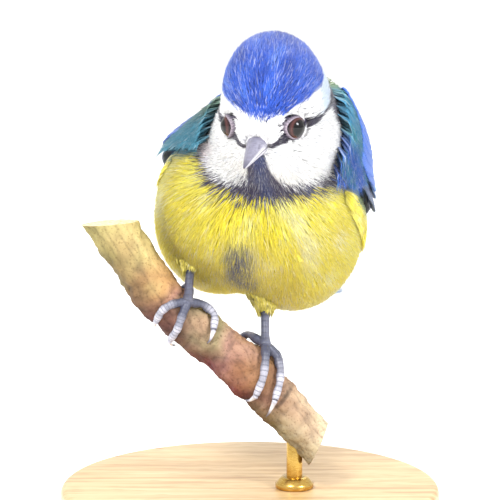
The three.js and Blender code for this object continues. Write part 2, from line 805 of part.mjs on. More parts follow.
const shanks = Object.values(FEET).map((foot) => tarsusSolid(foot, GAP));
add("torso", largest(without(torsoForm, branchGrown, ...shanks)), FINISHES.breast);

for (const [name, side] of Object.entries(SIDES)) {
  const foot = FEET[name];
  add(`eye_${name}`, eyes[name].eyeball, FINISHES.eye);
  add(`wing_${name}`, wing(side), FINISHES.wing);
  add(`thigh_${name}`, largest(thighSolid(foot)), FINISHES.breast);
  add(`tarsus_${name}`, tarsusSolid(foot, 0), FINISHES.leg);
  add(`foot_${name}`, footSolid(foot), FINISHES.leg);
  for (const toe of Object.keys(foot.toes)) {
    add(`claw_${name}_${toe}`, clawSolid(foot, toe), FINISHES.claw);
  }
}

add("perch_branch", without(branchForm, rodHole), FINISHES.bark);
add("stand_base", standBase, FINISHES.base);
add("stand_collar", standCollar, FINISHES.brass);
add("stand_rod", standRod, FINISHES.brass);

export default bird;
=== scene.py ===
import math

import bmesh
import bpy
import numpy as np
from mathutils import Matrix, Vector, noise


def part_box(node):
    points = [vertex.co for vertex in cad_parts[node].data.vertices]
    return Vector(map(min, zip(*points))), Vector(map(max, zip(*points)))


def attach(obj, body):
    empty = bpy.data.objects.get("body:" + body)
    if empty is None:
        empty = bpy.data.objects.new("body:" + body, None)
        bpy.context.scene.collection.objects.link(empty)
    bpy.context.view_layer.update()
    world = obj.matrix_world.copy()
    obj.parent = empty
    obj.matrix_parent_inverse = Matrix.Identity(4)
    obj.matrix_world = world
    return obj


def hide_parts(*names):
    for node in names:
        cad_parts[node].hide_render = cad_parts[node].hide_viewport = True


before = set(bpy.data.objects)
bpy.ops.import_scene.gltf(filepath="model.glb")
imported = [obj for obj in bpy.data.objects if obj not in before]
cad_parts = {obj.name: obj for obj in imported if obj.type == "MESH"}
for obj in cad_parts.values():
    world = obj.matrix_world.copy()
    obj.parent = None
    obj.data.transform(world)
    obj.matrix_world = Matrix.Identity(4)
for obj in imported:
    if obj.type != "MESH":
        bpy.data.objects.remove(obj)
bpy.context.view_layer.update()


# Stand base
# A round of pale beech, turned on a lathe, its top edge softened and its face sealed with a satin
# varnish. It lies flat on the table, and the rod is glued into a hole through its top.
BASE_RADIUS = 36.0
BASE_HEIGHT = 7.0
BASE_EDGE = 1.2
ROD_PLACE = (8.4, -3.2)
BEECH = "c9a878"
BEECH_DARK = "ab8353"


def set_in_scene(name, mesh, material, stands_for):
    """A piece of the model from its mesh, with the material and the solids it stands for."""
    piece = bpy.data.objects.new(name, mesh)
    bpy.context.scene.collection.objects.link(piece)
    mesh.materials.append(material)
    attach(piece, "root")
    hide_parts(*stands_for)
    return piece


def mesh_piece(name, spots, faces, material, stands_for):
    """A piece of the model from points in millimetres."""
    mesh = bpy.data.meshes.new(name)
    mesh.from_pydata((np.asarray(spots) / 1000).tolist(), [], [tuple(face) for face in faces])
    mesh.validate()
    mesh.update()
    mesh.polygons.foreach_set("use_smooth", [True] * len(mesh.polygons))
    return set_in_scene(name, mesh, material, stands_for)


def ring_faces(rings, sides):
    """Quads between closed rings of points, with a fan of triangles on each end's last point."""
    faces = []
    for i in range(rings - 1):
        for j in range(sides):
            a, b = i * sides + j, i * sides + (j + 1) % sides
            faces.append((a, b, b + sides, a + sides))
    start, end = rings * sides, rings * sides + 1
    for j in range(sides):
        after = (j + 1) % sides
        faces.append((start, after, j))
        faces.append((end, (rings - 1) * sides + j, (rings - 1) * sides + after))
    return faces


def turned(profile, place, sides):
    """Points of a closed turned form, from (radius, height) pairs that run from the bottom up."""
    turns = np.linspace(0, 2 * math.pi, sides, endpoint=False)
    spots = [
        (place[0] + radius * math.cos(turn), place[1] + radius * math.sin(turn), height)
        for radius, height in profile
        for turn in turns
    ]
    spots.append((place[0], place[1], profile[0][1]))
    spots.append((place[0], place[1], profile[-1][1]))
    return spots, ring_faces(len(profile), sides)


def linear(colour):
    """A colour's linear parts, from its hexadecimal name."""
    parts = np.array([int(colour[i : i + 2], 16) / 255 for i in (0, 2, 4)])
    return np.where(parts <= 0.04045, parts / 12.92, ((parts + 0.055) / 1.055) ** 2.4)


def finish(name, colour, roughness, **sockets):
    """A material with one Principled shader, and that shader for further links."""
    material = bpy.data.materials.new(name)
    material.use_nodes = True
    shader = material.node_tree.nodes["Principled BSDF"]
    shader.inputs["Base Color"].default_value = (*linear(colour), 1)
    shader.inputs["Roughness"].default_value = roughness
    for socket, value in sockets.items():
        shader.inputs[socket.replace("_", " ")].default_value = value
    return material, shader


def node(material, kind, inputs=(), **settings):
    """A new node of a material, with its settings, fixed inputs and links."""
    made = material.node_tree.nodes.new(kind)
    for setting, value in settings.items():
        setattr(made, setting, value)
    for socket, value in dict(inputs).items():
        if isinstance(value, bpy.types.NodeSocket):
            material.node_tree.links.new(value, made.inputs[socket])
        else:
            made.inputs[socket].default_value = value
    return made


def ramp(material, factor, stops):
    """A colour ramp from (place, colour name) stops."""
    made = node(material, "ShaderNodeValToRGB", {"Fac": factor})
    elements = made.color_ramp.elements
    while len(elements) < len(stops):
        elements.new(0.5)
    for element, (place, colour) in zip(elements, stops):
        element.position = place
        element.color = (*linear(colour), 1)
    return made.outputs["Color"]


def stretched(material, scale):
    """Object coordinates, stretched by a scale along each axis."""
    spots = node(material, "ShaderNodeTexCoord").outputs["Object"]
    return node(
        material, "ShaderNodeMapping", {"Vector": spots, "Scale": scale}
    ).outputs["Vector"]


def relief(material, shader, height, depth, strength=1.0):
    """Bump from a height signal, its depth in metres."""
    bump = node(
        material, "ShaderNodeBump", {"Height": height, "Distance": depth, "Strength": strength}
    )
    material.node_tree.links.new(bump.outputs["Normal"], shader.inputs["Normal"])


def tint(material, shader, colour):
    """Links a colour to the shader's base."""
    material.node_tree.links.new(colour, shader.inputs["Base Color"])


def speckle(material, scale, detail):
    """Fine noise over a piece, stretched by a scale along each axis."""
    spots = {"Vector": stretched(material, scale), "Scale": 1.0, "Detail": detail}
    return node(material, "ShaderNodeTexNoise", spots).outputs["Fac"]


beech, beech_shader = finish("beech", BEECH, 0.42, Coat_Weight=0.25, Coat_Roughness=0.22)
grain = node(
    beech,
    "ShaderNodeTexNoise",
    {"Vector": stretched(beech, (26, 330, 330)), "Scale": 1.6, "Detail": 5, "Distortion": 0.6},
)
flecks = node(
    beech,
    "ShaderNodeTexVoronoi",
    {"Vector": stretched(beech, (160, 1500, 1500)), "Scale": 1.0},
)
fleck_mask = node(
    beech,
    "ShaderNodeMapRange",
    {"Value": flecks.outputs["Distance"], "From Min": 0.05, "From Max": 0.3, "To Min": 1, "To Max": 0},
)
wood_colour = ramp(beech, grain.outputs["Fac"], [(0.3, BEECH_DARK), (0.5, BEECH), (0.72, "d6b98c")])
flecked = node(
    beech,
    "ShaderNodeMix",
    {"Factor": fleck_mask.outputs["Result"], "A": wood_colour, "B": (*linear("a87f50"), 1)},
    data_type="RGBA",
)
tint(beech, beech_shader, flecked.outputs["Result"])
relief(beech, beech_shader, grain.outputs["Fac"], 0.00006, 0.5)

rim_middle = (BASE_RADIUS - BASE_EDGE, BASE_HEIGHT - BASE_EDGE)
rounding = [
    (rim_middle[0] + BASE_EDGE * math.sin(turn), rim_middle[1] + BASE_EDGE * math.cos(turn))
    for turn in np.linspace(math.pi / 2, 0, 9)
]
base_profile = [
    (BASE_RADIUS * 0.5, 0.0),
    (BASE_RADIUS - 0.5, 0.0),
    (BASE_RADIUS - 0.15, 0.15),
    (BASE_RADIUS, 0.5),
    *rounding,
    (BASE_RADIUS * 0.6, BASE_HEIGHT),
    (4.0, BASE_HEIGHT),
]
spots, faces = turned(base_profile, (0, 0), 160)
mesh_piece("base", spots, faces, beech, ["stand_base"])


# Rod and collar
# A thin brass rod, polished lengthwise, screwed up into the low end of the branch, with a small turned
# brass collar where it stands on the wood.
ROD_RADIUS = 1.5
COLLAR_RADIUS = 3.6
COLLAR_HEIGHT = 2.2
BRASS = "c9a24e"

brass, brass_shader = finish("brass", BRASS, 0.26, Metallic=1.0)
brushing = speckle(brass, (900, 900, 9000), 3)
tint(brass, brass_shader, ramp(brass, brushing, [(0.3, "b98f3e"), (0.7, "d8b566")]))
relief(brass, brass_shader, brushing, 0.00001, 0.4)

rod_low, rod_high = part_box("stand_rod")
rod_profile = [
    (ROD_RADIUS, rod_low.z * 1000),
    (ROD_RADIUS, rod_high.z * 500),
    (ROD_RADIUS, rod_high.z * 1000 - 0.2),
    (ROD_RADIUS - 0.2, rod_high.z * 1000),
]
spots, faces = turned(rod_profile, ROD_PLACE, 40)
mesh_piece("rod", spots, faces, brass, ["stand_rod"])
collar_foot = BASE_HEIGHT + 0.02
collar_profile = [
    (COLLAR_RADIUS - 0.2, collar_foot),
    (COLLAR_RADIUS, collar_foot + 0.2),
    (COLLAR_RADIUS, collar_foot + COLLAR_HEIGHT * 0.42),
    (COLLAR_RADIUS - 0.25, collar_foot + COLLAR_HEIGHT * 0.55),
    (COLLAR_RADIUS * 0.76, collar_foot + COLLAR_HEIGHT * 0.9),
    (COLLAR_RADIUS * 0.66, collar_foot + COLLAR_HEIGHT),
    (ROD_RADIUS, collar_foot + COLLAR_HEIGHT),
]
spots, faces = turned(collar_profile, ROD_PLACE, 64)
mesh_piece("collar", spots, faces, brass, ["stand_collar"])


# Branch
# A finger-thick length of a fruit tree's branch that slopes down to the bird's left. Thin bark in ochre,
# pink and green with low swellings, fine cracks and small raised pores, sawn square at both ends.
BRANCH_DEPTH = -3.2
BRANCH_LINE = [
    (-28, 60.6),
    (-20.4, 48.6),
    (-14.8, 41.4),
    (-6.5, 34.6),
    (0.2, 29.2),
    (5.6, 23.2),
    (14.6, 13.4),
]
BRANCH_RADII = [4.4, 4.5, 4.3, 4.2, 4.9, 4.3, 4.0]
SAWN_ENDS = [((-26.5, BRANCH_DEPTH, 57.6), (-0.07, 0, 1)), ((12.6, BRANCH_DEPTH, 15), (0.9, 0, -0.43))]
BARK_RINGS = 330
BARK_SIDES = 84
# Colours along the branch from its high end: the upper side's, and the lower side's, which is darker
# throughout as painted shade and redder in places.
BARK_COLOURS = [
    (0.0, "cdc288", "97905c"),
    (0.12, "c2b07c", "756c42"),
    (0.24, "ae8a5c", "6e543e"),
    (0.34, "a17a6c", "522c2c"),
    (0.45, "98906e", "5c4238"),
    (0.55, "ab8a7c", "612a32"),
    (0.65, "9a7650", "682e2e"),
    (0.75, "93705e", "4c2222"),
    (0.86, "b8a088", "6e6446"),
    (1.0, "ccc2a8", "968e78"),
]


def unit(vectors):
    """Vectors at length one."""
    return vectors / np.linalg.norm(vectors, axis=-1, keepdims=True)


class Path:
    """A smooth centripetal curve through points, read at shares of its knots from 0 to 1."""

    def __init__(self, points):
        self.points = np.array(points, float)

    def at(self, share):
        """The point at a share of the knots."""
        points = self.points
        last = len(points) - 1
        along = min(max(share, 0), 1) * last
        i = min(int(along), last - 1)
        t = along - i
        p1, p2 = points[i], points[i + 1]
        p0 = points[i - 1] if i else 2 * points[0] - points[1]
        p3 = points[i + 2] if i + 2 <= last else 2 * points[last] - points[last - 1]
        d0, d1, d2 = (math.sqrt(np.linalg.norm(b - a)) for a, b in ((p0, p1), (p1, p2), (p2, p3)))
        t1 = ((p1 - p0) / d0 - (p2 - p0) / (d0 + d1) + (p2 - p1) / d1) * d1
        t2 = ((p2 - p1) / d1 - (p3 - p1) / (d1 + d2) + (p3 - p2) / d2) * d1
        square = -3 * p1 + 3 * p2 - 2 * t1 - t2
        cube = 2 * p1 - 2 * p2 + t1 + t2
        return p1 + t1 * t + square * t**2 + cube * t**3

    def heading(self, share):
        """The way the curve runs at a share of the knots."""
        return unit(self.at(min(share + 1e-4, 1)) - self.at(max(share - 1e-4, 0)))

    def even(self, count):
        """Points at even distances along the curve."""
        fine = np.array([self.at(share) for share in np.linspace(0, 1, 200)])
        far = np.concatenate([[0], np.cumsum(np.linalg.norm(np.diff(fine, axis=0), axis=1))])
        wanted = np.linspace(0, far[-1], count)
        return np.stack([np.interp(wanted, far, fine[:, k]) for k in range(3)], axis=1)


branch_path = Path([(x, BRANCH_DEPTH, z) for x, z in BRANCH_LINE])
FRONT = np.array([0, -1, 0])


def bark_swelling(share, turn):
    """Low swellings of the bark, along and round the branch."""
    lengthwise = np.sin(share * 31 + 2 * np.sin(turn)) * 0.14
    return lengthwise + np.sin(3 * turn + share * 17) * 0.1 + np.sin(share * 63 + turn) * 0.07


def on_branch(share, turn, height):
    """A point over the bark, at a share of the length and a turn that is 0 on top and 90 in front."""
    top = unit(np.cross(FRONT, branch_path.heading(share)))
    turn = math.radians(turn)
    radius = np.interp(share * (len(BRANCH_RADII) - 1), range(len(BRANCH_RADII)), BRANCH_RADII)
    far = radius + bark_swelling(share, turn) + height
    return branch_path.at(share) + top * math.cos(turn) * far + FRONT * math.sin(turn) * far


def cracks(spot, share, turn):
    """Bark relief at a place: its height over the smooth bark, and the depth of its cracks and creases."""
    along = share * 60
    round_ = Vector((math.cos(turn) * 4.4, math.sin(turn) * 4.4, along * 0.28))
    ridge = abs(noise.noise(round_ * 0.55)) ** 0.8
    crease = max(0, noise.noise(Vector((math.cos(turn) * 0.8, math.sin(turn) * 0.8, along * 0.62))) - 0.28)
    pore = max(0, noise.cell(Vector((math.cos(turn) * 3, math.sin(turn) * 3, along * 0.9))) - 0.86)
    depth = 0.9 * max(0, 0.16 - ridge) + 0.6 * crease
    knobs = 0.45 * noise.noise(Vector(spot) * 0.3) + 0.3 * noise.noise(Vector(spot) * 0.75)
    return knobs + 0.12 * noise.noise(Vector(spot) * 1.7) + 0.6 * pore - depth, depth


def painted_tone(material):
    """The colours written into a piece's Tone attribute."""
    return node(material, "ShaderNodeAttribute", attribute_name="Tone").outputs["Color"]


def grained(material, colour, signal, stops, strength):
    """A colour darkened by a ramp over a noise signal."""
    return node(
        material,
        "ShaderNodeMix",
        {"Factor": strength, "A": colour, "B": ramp(material, signal, stops)},
        data_type="RGBA",
        blend_type="MULTIPLY",
    ).outputs["Result"]


bark, bark_shader = finish("bark", "c9a970", 0.78)
mottle = speckle(bark, (420, 420, 420), 6)
specks = speckle(bark, (2600, 2600, 2600), 2)
mottle_colour = ramp(bark, mottle, [(0.32, "7c6048"), (0.5, "b8a284"), (0.7, "e6dabb")])
mottled = node(
    bark,
    "ShaderNodeMix",
    {"Factor": 0.35, "A": painted_tone(bark), "B": mottle_colour},
    data_type="RGBA",
    blend_type="SOFT_LIGHT",
)
speck_stops = [(0.3, "9a8468"), (0.45, "ffffff")]
tint(bark, bark_shader, grained(bark, mottled.outputs["Result"], specks, speck_stops, 0.5))
relief(bark, bark_shader, specks, 0.00012, 0.7)

sawn, sawn_shader = finish("sawn wood", "e3c79a", 0.6)
rings = speckle(sawn, (1500, 1500, 1500), 3)
tint(sawn, sawn_shader, ramp(sawn, rings, [(0.35, "c79f68"), (0.6, "ecd6ae")]))
relief(sawn, sawn_shader, rings, 0.0001, 0.6)


def paint(colours):
    """Stops of (place, linear colour) from (place, colour name) stops."""
    return [(place, linear(colour)) for place, colour in colours]


def blend_stops(share, stops):
    """Colours at shares between stops of (place, colour)."""
    places = [place for place, _ in stops]
    colours = np.array([colour for _, colour in stops])
    return np.stack([np.interp(share, places, colours[:, k]) for k in range(3)], axis=-1)


def set_tone(piece, colours):
    """Writes a colour for each vertex into the piece's Tone attribute."""
    attribute = piece.data.attributes.new("Tone", "FLOAT_COLOR", "POINT")
    rgba = np.ones((len(colours), 4), np.float32)
    rgba[:, :3] = np.clip(colours, 0, 1)
    attribute.data.foreach_set("color", rgba.ravel())


spots = []
tones = []
upper_stops = paint([(place, colour) for place, colour, _ in BARK_COLOURS])
lower_shaded_stops = paint([(place, colour) for place, _, colour in BARK_COLOURS])
for share in np.linspace(0, 1, BARK_RINGS):
    for turn in np.linspace(0, 360, BARK_SIDES, endpoint=False):
        bare = on_branch(share, turn, 0)
        height, depth = cracks(bare, share, math.radians(turn))
        spots.append(on_branch(share, turn, height))
        bare = Vector(bare)
        wander = 0.35 * noise.noise(bare * 0.16) + 0.12 * noise.noise(bare * 0.7)
        # The lower side is painted darker, as shade under the branch, with a wandering edge.
        lowness = np.clip(0.5 - 0.62 * math.cos(math.radians(turn)) + wander, 0, 1) ** 1.2
        shifted = np.clip(share + 0.08 * noise.noise(bare * 0.23 + Vector((9, 0, 0))), 0, 1)
        upper, lower = blend_stops(shifted, upper_stops), blend_stops(shifted, lower_shaded_stops)
        tone = upper * (1 - lowness) + lower * lowness
        # Cracks and creases are painted darker by their depth, as painted shade.
        tones.append(tone * (1 - 2.2 * min(depth, 0.3)))
for share in (0, 1):
    spots.append(branch_path.at(share))
    tones.append(linear("e3c79a"))
branch = mesh_piece("branch", spots, ring_faces(BARK_RINGS, BARK_SIDES), bark, ["perch_branch"])
set_tone(branch, np.array(tones))
branch.data.materials.append(sawn)
work = bmesh.new()
work.from_mesh(branch.data)
for place, facing in SAWN_ENDS:
    everything = work.verts[:] + work.edges[:] + work.faces[:]
    cut = bmesh.ops.bisect_plane(
        work, geom=everything, plane_co=Vector(place) / 1000, plane_no=Vector(facing), clear_outer=True
    )
    rim = [item for item in cut["geom_cut"] if isinstance(item, bmesh.types.BMEdge)]
    ends = bmesh.ops.contextual_create(work, geom=rim)["faces"]
    for face in ends:
        face.material_index = 1
        face.smooth = False
bmesh.ops.recalc_face_normals(work, faces=work.faces[:])
work.to_mesh(branch.data)
work.free()


# Legs and feet
# Slender shanks and toes in blue-grey scaled skin, each toe with plates over its top, pale pads under
# it and a hooked horn claw. Three toes grip over the front of the branch and one from behind.
FEET = {
    "right": {
        "share": 0.35,
        "joint": 48,
        "leg_top": (-11, 0, 52),
        "toes": {
            "hind": [(14, -0.02), (-24, -0.03), (-66, -0.03), (-104, -0.02)],
            "inner": [(26, 0.05), (30, 0.09), (58, 0.112), (92, 0.122)],
            "middle": [(74, 0.014), (104, 0.03), (134, 0.036), (166, 0.06)],
            "outer": [(76, -0.034), (98, -0.04), (124, -0.028), (152, -0.012)],
        },
    },
    "left": {
        "share": 0.635,
        "joint": 14,
        "leg_top": (2.8, 2, 45),
        "toes": {
            "hind": [(-6, -0.035), (-34, -0.062), (-76, -0.068), (-112, -0.06)],
            "inner": [(40, 0.022), (72, 0.06), (106, 0.096), (146, 0.088)],
            "middle": [(16, 0.06), (46, 0.11), (84, 0.158), (130, 0.19)],
            "outer": [(-6, 0.05), (-34, 0.085), (-72, 0.1), (-106, 0.096)],
        },
    },
}
CLEAR = 0.12
TOE_THICK = 0.86
TOE_THIN = 0.66
TOE_PADS = {"hind": 2, "inner": 3, "middle": 4, "outer": 4}
CLAW_ROOT = 0.66
CLAW_TIP = 0.09
SHANK_RADIUS = 0.8
SHANK_KNOB = 1.15
SHANK_LENGTH = 9.5
SLATE = linear("4c4f63")
PALE_SCUTE = linear("c6c5d2")
GROOVE = linear("2f2f3e")

leg_skin, leg_shader = finish("leg skin", "5f6478", 0.42, Coat_Weight=0.15, Coat_Roughness=0.35)
leg_grain = speckle(leg_skin, (5200, 5200, 5200), 2)
leg_stops = [(0.35, "8f8f98"), (0.6, "ffffff")]
tint(leg_skin, leg_shader, grained(leg_skin, painted_tone(leg_skin), leg_grain, leg_stops, 0.35))
relief(leg_skin, leg_shader, leg_grain, 0.00004, 0.5)


def limb(points, outward, radius_at, rings, sides):
    """A closed round limb. Turn 0 faces outward, and the radius depends on the share and the turn."""
    centres = Path(points).even(rings)
    along = unit(np.gradient(centres, axis=0))
    out = np.array([outward(centre) for centre in centres])
    out = unit(out - (out * along).sum(1, keepdims=True) * along)
    side = np.cross(along, out)
    shares = np.linspace(0, 1, rings)
    turns = np.linspace(0, 2 * math.pi, sides, endpoint=False)
    grid = np.array([[radius_at(share, turn) for turn in turns] for share in shares])
    spots = (
        centres[:, None]
        + out[:, None] * (np.cos(turns)[None] * grid)[..., None]
        + side[:, None] * (np.sin(turns)[None] * grid)[..., None]
    ).reshape(-1, 3)
    ends = [
        centres[0] - along[0] * grid[0, 0] * 0.5,
        centres[-1] + along[-1] * grid[-1, 0] * 0.5,
    ]
    every_share, every_turn = np.repeat(shares, sides), np.tile(turns, rings)
    return np.concatenate([spots, ends]), ring_faces(rings, sides), every_share, every_turn


def off_branch(centre):
    """Away from the branch's middle line."""
    shares = np.linspace(0, 1, 60)
    line = np.array([branch_path.at(share) for share in shares])
    return centre - line[np.argmin(np.linalg.norm(line - centre, axis=1))]


def scute(share, count):
    """How far into a scute a place is: 0 in the groove between two, 1 on the plate."""
    phase = (share * count) % 1
    return min(1, 6 * min(phase, 1 - phase))


def join(parts):
    """Several forms' points and faces as one list of each."""
    spots, faces, total = [], [], 0
    for some, its_faces in parts:
        spots.append(np.asarray(some))
        faces += [tuple(index + total for index in face) for face in its_faces]
        total += len(some)
    return np.concatenate(spots), faces


claw_horn, claw_shader = finish("claw horn", "6c6d7c", 0.28, Coat_Weight=0.4, Coat_Roughness=0.12)
claw_lines = speckle(claw_horn, (3800, 3800, 900), 3)
claw_stops = [(0.35, "9a9aa4"), (0.62, "ffffff")]
tint(claw_horn, claw_shader, grained(claw_horn, painted_tone(claw_horn), claw_lines, claw_stops, 0.3))
relief(claw_horn, claw_shader, claw_lines, 0.00003, 0.4)
CLAW_COLOURS = paint([(0, "b9b8c4"), (0.35, "e2e0e6"), (0.7, "77768a"), (1, "3a3a48")])
CLAW_ENDS = [CLAW_COLOURS[0][1], CLAW_COLOURS[-1][1]]

for side_name, foot in FEET.items():
    joint = on_branch(foot["share"], foot["joint"], CLEAR + SHANK_KNOB)
    leg_top = np.array(foot["leg_top"], float)
    up = unit(leg_top - joint)
    parts = []
    tones = []
    for toe, stops in foot["toes"].items():
        stands = [
            on_branch(foot["share"] + shift, turn, CLEAR + TOE_THICK) for turn, shift in stops[:3]
        ]
        plates = 3 * TOE_PADS[toe] + 2

        def toe_radius(share, turn, pads=TOE_PADS[toe], plates=plates):
            radius = TOE_THICK + (TOE_THIN - TOE_THICK) * share
            fade = min(share * 5, 1)
            topside = max(math.cos(turn), 0)
            underside = max(-math.cos(turn), 0)
            plate = 0.07 * (scute(share, plates) - 0.6) * topside * fade
            pad = -0.12 * math.cos(share * pads * 2 * math.pi) * (0.35 + underside) * fade
            return radius + plate + pad

        spots, faces, shares, turns = limb([joint, *stands], off_branch, toe_radius, 110, 20)
        topside = np.cos(turns)
        on_plate = np.array([scute(share, plates) for share in shares])
        paleness = np.clip((shares - 0.28) * 2.4, 0, 1) * np.clip(0.55 + topside, 0, 1)
        paleness = paleness * (0.45 + 0.55 * on_plate)
        paleness = paleness * (0.76 + 0.24 * np.cos(shares * TOE_PADS[toe] * 2 * math.pi + 2.4))
        colours = SLATE + (PALE_SCUTE - SLATE) * paleness[:, None]
        colours = GROOVE + (colours - GROOVE) * (0.6 + 0.4 * on_plate[:, None])
        parts.append((spots, faces))
        tones.append(np.concatenate([colours, [SLATE, SLATE]]))

        ahead = unit(stands[2] - stands[1])
        root = stands[2] + ahead * (TOE_THIN * 0.35)
        end = on_branch(foot["share"] + stops[3][1], stops[3][0], 0.3)
        middle = (root + end) / 2 + ahead * 0.55

        def claw_radius(share, turn):
            radius = CLAW_ROOT + (CLAW_TIP - CLAW_ROOT) * share**0.8
            return radius * (1 - 0.18 * math.sin(turn) ** 2)

        spots, faces, shares, _ = limb([root, middle, end], off_branch, claw_radius, 30, 14)
        place = f"{side_name}_{toe}"
        piece = mesh_piece(
            f"claw_horn_{place}", spots, faces, claw_horn, [f"claw_{place}"]
        )
        set_tone(piece, np.concatenate([blend_stops(shares, CLAW_COLOURS), CLAW_ENDS]))

    low = joint - up * 0.2
    high = joint + up * (SHANK_KNOB + SHANK_LENGTH)

    def shank_radius(share, turn):
        knob = (SHANK_KNOB - SHANK_RADIUS) * math.exp(-((share / 0.12) ** 2))
        front_plates = 0.05 * (scute(share, 9) - 0.6) * max(math.cos(turn), 0)
        keel = 0.14 * max(-math.cos(turn), 0) ** 3
        return SHANK_RADIUS + knob + front_plates + keel + 0.2 * max(0, share - 0.8) / 0.2

    line = [low, (low + high) / 2, high]
    spots, faces, shares, turns = limb(line, lambda _: FRONT, shank_radius, 90, 24)
    on_plate = np.array([scute(share, 9) for share in shares])
    colours = GROOVE + (SLATE - GROOVE) * (0.4 + 0.6 * on_plate[:, None])
    lit = 0.35 * np.clip(np.cos(turns - 0.9), 0, 1) ** 3
    colours = colours + (linear("8f90a4") - SLATE) * lit[:, None]
    parts.append((spots, faces))
    tones.append(np.concatenate([colours, [SLATE, SLATE]]))
    spots, faces = join(parts)
    stood_for = [f"tarsus_{side_name}", f"foot_{side_name}"]
    piece = mesh_piece(f"leg_{side_name}", spots, faces, leg_skin, stood_for)
    set_tone(piece, np.concatenate(tones))
    foot["up"] = up
    foot["low"] = joint + up * (SHANK_KNOB + 0.2)


# Body skin
# One closed skin over head, neck and body. It lies under the tips of the feathers by the depth of the
# coat, which is thin at the bill and eyes and deep on the body.
MELT = 1.3
SKIN_GRID = 0.0006
# Each mass's place and half sizes, forward, left and up in the frame of its own part.
HEAD_MASSES = [
    ((-1.5, 0, 1), (9.6, 9.2, 9.5)),
    ((-2.5, 0, 5.6), (8.8, 8.2, 8.6)),
    ((-1, 5.4, -5.8), (8, 5.9, 6)),
    ((-1, -5.2, -5.8), (7.8, 5.7, 6)),
    ((5.8, 0, -1.4), (5.6, 4.2, 4.6)),
    ((3.5, 0, -6.4), (6.4, 5, 4.6)),
    ((-7.5, 0, -1), (7, 8.4, 8.6)),
]
TORSO_MASSES = [
    ((15.5, 2.4, 5.4), (11, 12, 12.2)),
    ((9.5, 6.4, 6), (11.5, 10, 11)),
    ((15, 6.8, 10.4), (8, 5.6, 8.2)),
    ((8, -3.4, 3), (10.2, 8.3, 8.9)),
    ((6, 0, -2.4), (14.5, 18, 15.8)),
    ((-3, 7, -3), (16.5, 13, 15.2)),
    ((-3, -7.4, -2.8), (16.5, 13.2, 15.2)),
    ((-4, 0, 3), (18, 13.5, 12.4)),
    ((-17, 0, 2.6), (10, 8, 6.4)),
    ((-15, 0, -2.8), (10.5, 8, 6.4)),
    ((-26, 0, 4.2), (9, 5, 2.7)),
]
FAIRING = ((-28, 0, 3.4), (24, 9.5, 4.6))


class Stance:
    """A frame whose own axes are forward, left and up, from a place, a turn, a nod and a lean."""

    def __init__(self, at, yaw, nose_down, lean):
        def spin(axis, degrees):
            return np.array(Matrix.Rotation(math.radians(degrees), 3, axis))

        facing = np.array([[0, 1, 0], [-1, 0, 0], [0, 0, 1]])
        self.axes = spin("Z", yaw) @ spin("X", nose_down) @ spin("Y", lean) @ facing
        self.at = np.array(at, float)

    def local(self, points):
        """Points in the frame's own forward, left and up."""
        return (np.asarray(points) - self.at) @ self.axes

    def place(self, *parts):
        """The point at forward, left and up."""
        return self.at + self.axes @ np.array(parts, float)

    def heading(self, *parts):
        """The way that forward, left and up parts give."""
        return unit(self.axes @ np.array(parts, float))


TORSO = Stance((2.4, 5.5, 60), -8, -30, 11.5)
HEAD = Stance((4, -13.5, 78.9), -18, 20, 0)


def melted(stances):
    """The level of masses melted together, 0 on their surface, and its gradient, for many points."""

    def level(points):
        levels, slopes = [], []
        for stance, masses in stances:
            local = stance.local(points)
            for at, half in masses:
                offset = local - at
                half = np.array(half, float)
                near = np.linalg.norm(offset / half, axis=-1)
                steep = np.linalg.norm(offset / half**2, axis=-1)
                grad_near = offset / half**2 / near[..., None]
                grad_steep = offset / half**4 / steep[..., None]
                levels.append(near * (near - 1) / steep)
                slope = grad_near * ((2 * near - 1) / steep)[..., None]
                slope -= grad_steep * (near * (near - 1) / steep**2)[..., None]
                slopes.append(slope @ stance.axes.T)
        levels = np.array(levels)
        least = levels.min(0)
        weights = np.exp(-(levels - least) / MELT)
        total = weights.sum(0)
        slope = sum(weight[..., None] * one for weight, one in zip(weights / total, slopes))
        return least - MELT * np.log(total), slope

    return level


bird_level = melted([(HEAD, HEAD_MASSES), (TORSO, TORSO_MASSES)])


def settle(points, target, level=bird_level, rounds=3):
    """Points moved straight to where the level has a target value, and the way out there."""
    for _ in range(rounds):
        value, slope = level(points)
        steps = (value - target) / np.maximum((slope**2).sum(-1), 1e-6)
        points = points - slope * np.clip(steps, -3, 3)[..., None]
    return points, unit(level(points)[1])


def rise(value, low, high):
    """A smooth step from 0 at low to 1 at high."""
    share = np.clip((value - low) / (high - low), 0, 1)
    return share * share * (3 - 2 * share)


BILL_BASE = HEAD.place(9.5, 0, -2)
EYE_LEVEL = (5, -0.4)
EYE_RADIUS = 2.35
EYE_FACES = (0.46, 0.88, 0.06)
EYE_SUNK = 1.2
EYES = {}
for side_name, side in (("left", 1), ("right", -1)):
    outward = HEAD.heading(EYE_FACES[0], side * EYE_FACES[1], EYE_FACES[2])
    within = HEAD.place(EYE_LEVEL[0] - 2, 0, EYE_LEVEL[1])
    ray = within + outward * np.arange(0, 14, 0.01)[:, None]
    surface = ray[np.argmax(bird_level(ray)[0] > 0)]
    EYES[side_name] = (surface - outward * EYE_SUNK, outward)


def eye_distance(points):
    """How far points are from the nearer eye's middle line, in front of that eye's centre."""
    found = []
    for centre, outward in EYES.values():
        offset = points - centre
        along = offset @ outward
        across = np.linalg.norm(offset - along[..., None] * outward, axis=-1)
        found.append(np.where(along > -1, across, 99))
    return np.minimum(*found)


def coat_depth(points):
    """The depth of the coat at points of the bird."""
    from_bill = np.linalg.norm(points - BILL_BASE, axis=-1)
    from_head = np.linalg.norm(points - HEAD.at, axis=-1)
    depth = 0.45 + 0.65 * rise(from_bill, 2, 9) + 1.2 * rise(from_head, 11, 20)
    return np.minimum(depth, 0.5 + 0.5 * np.maximum(eye_distance(points) - 2.2, 0))


def mesh_points(mesh):
    """A mesh's points in metres."""
    spots = np.empty(len(mesh.vertices) * 3, np.float32)
    mesh.vertices.foreach_get("co", spots)
    return spots.reshape(-1, 3)


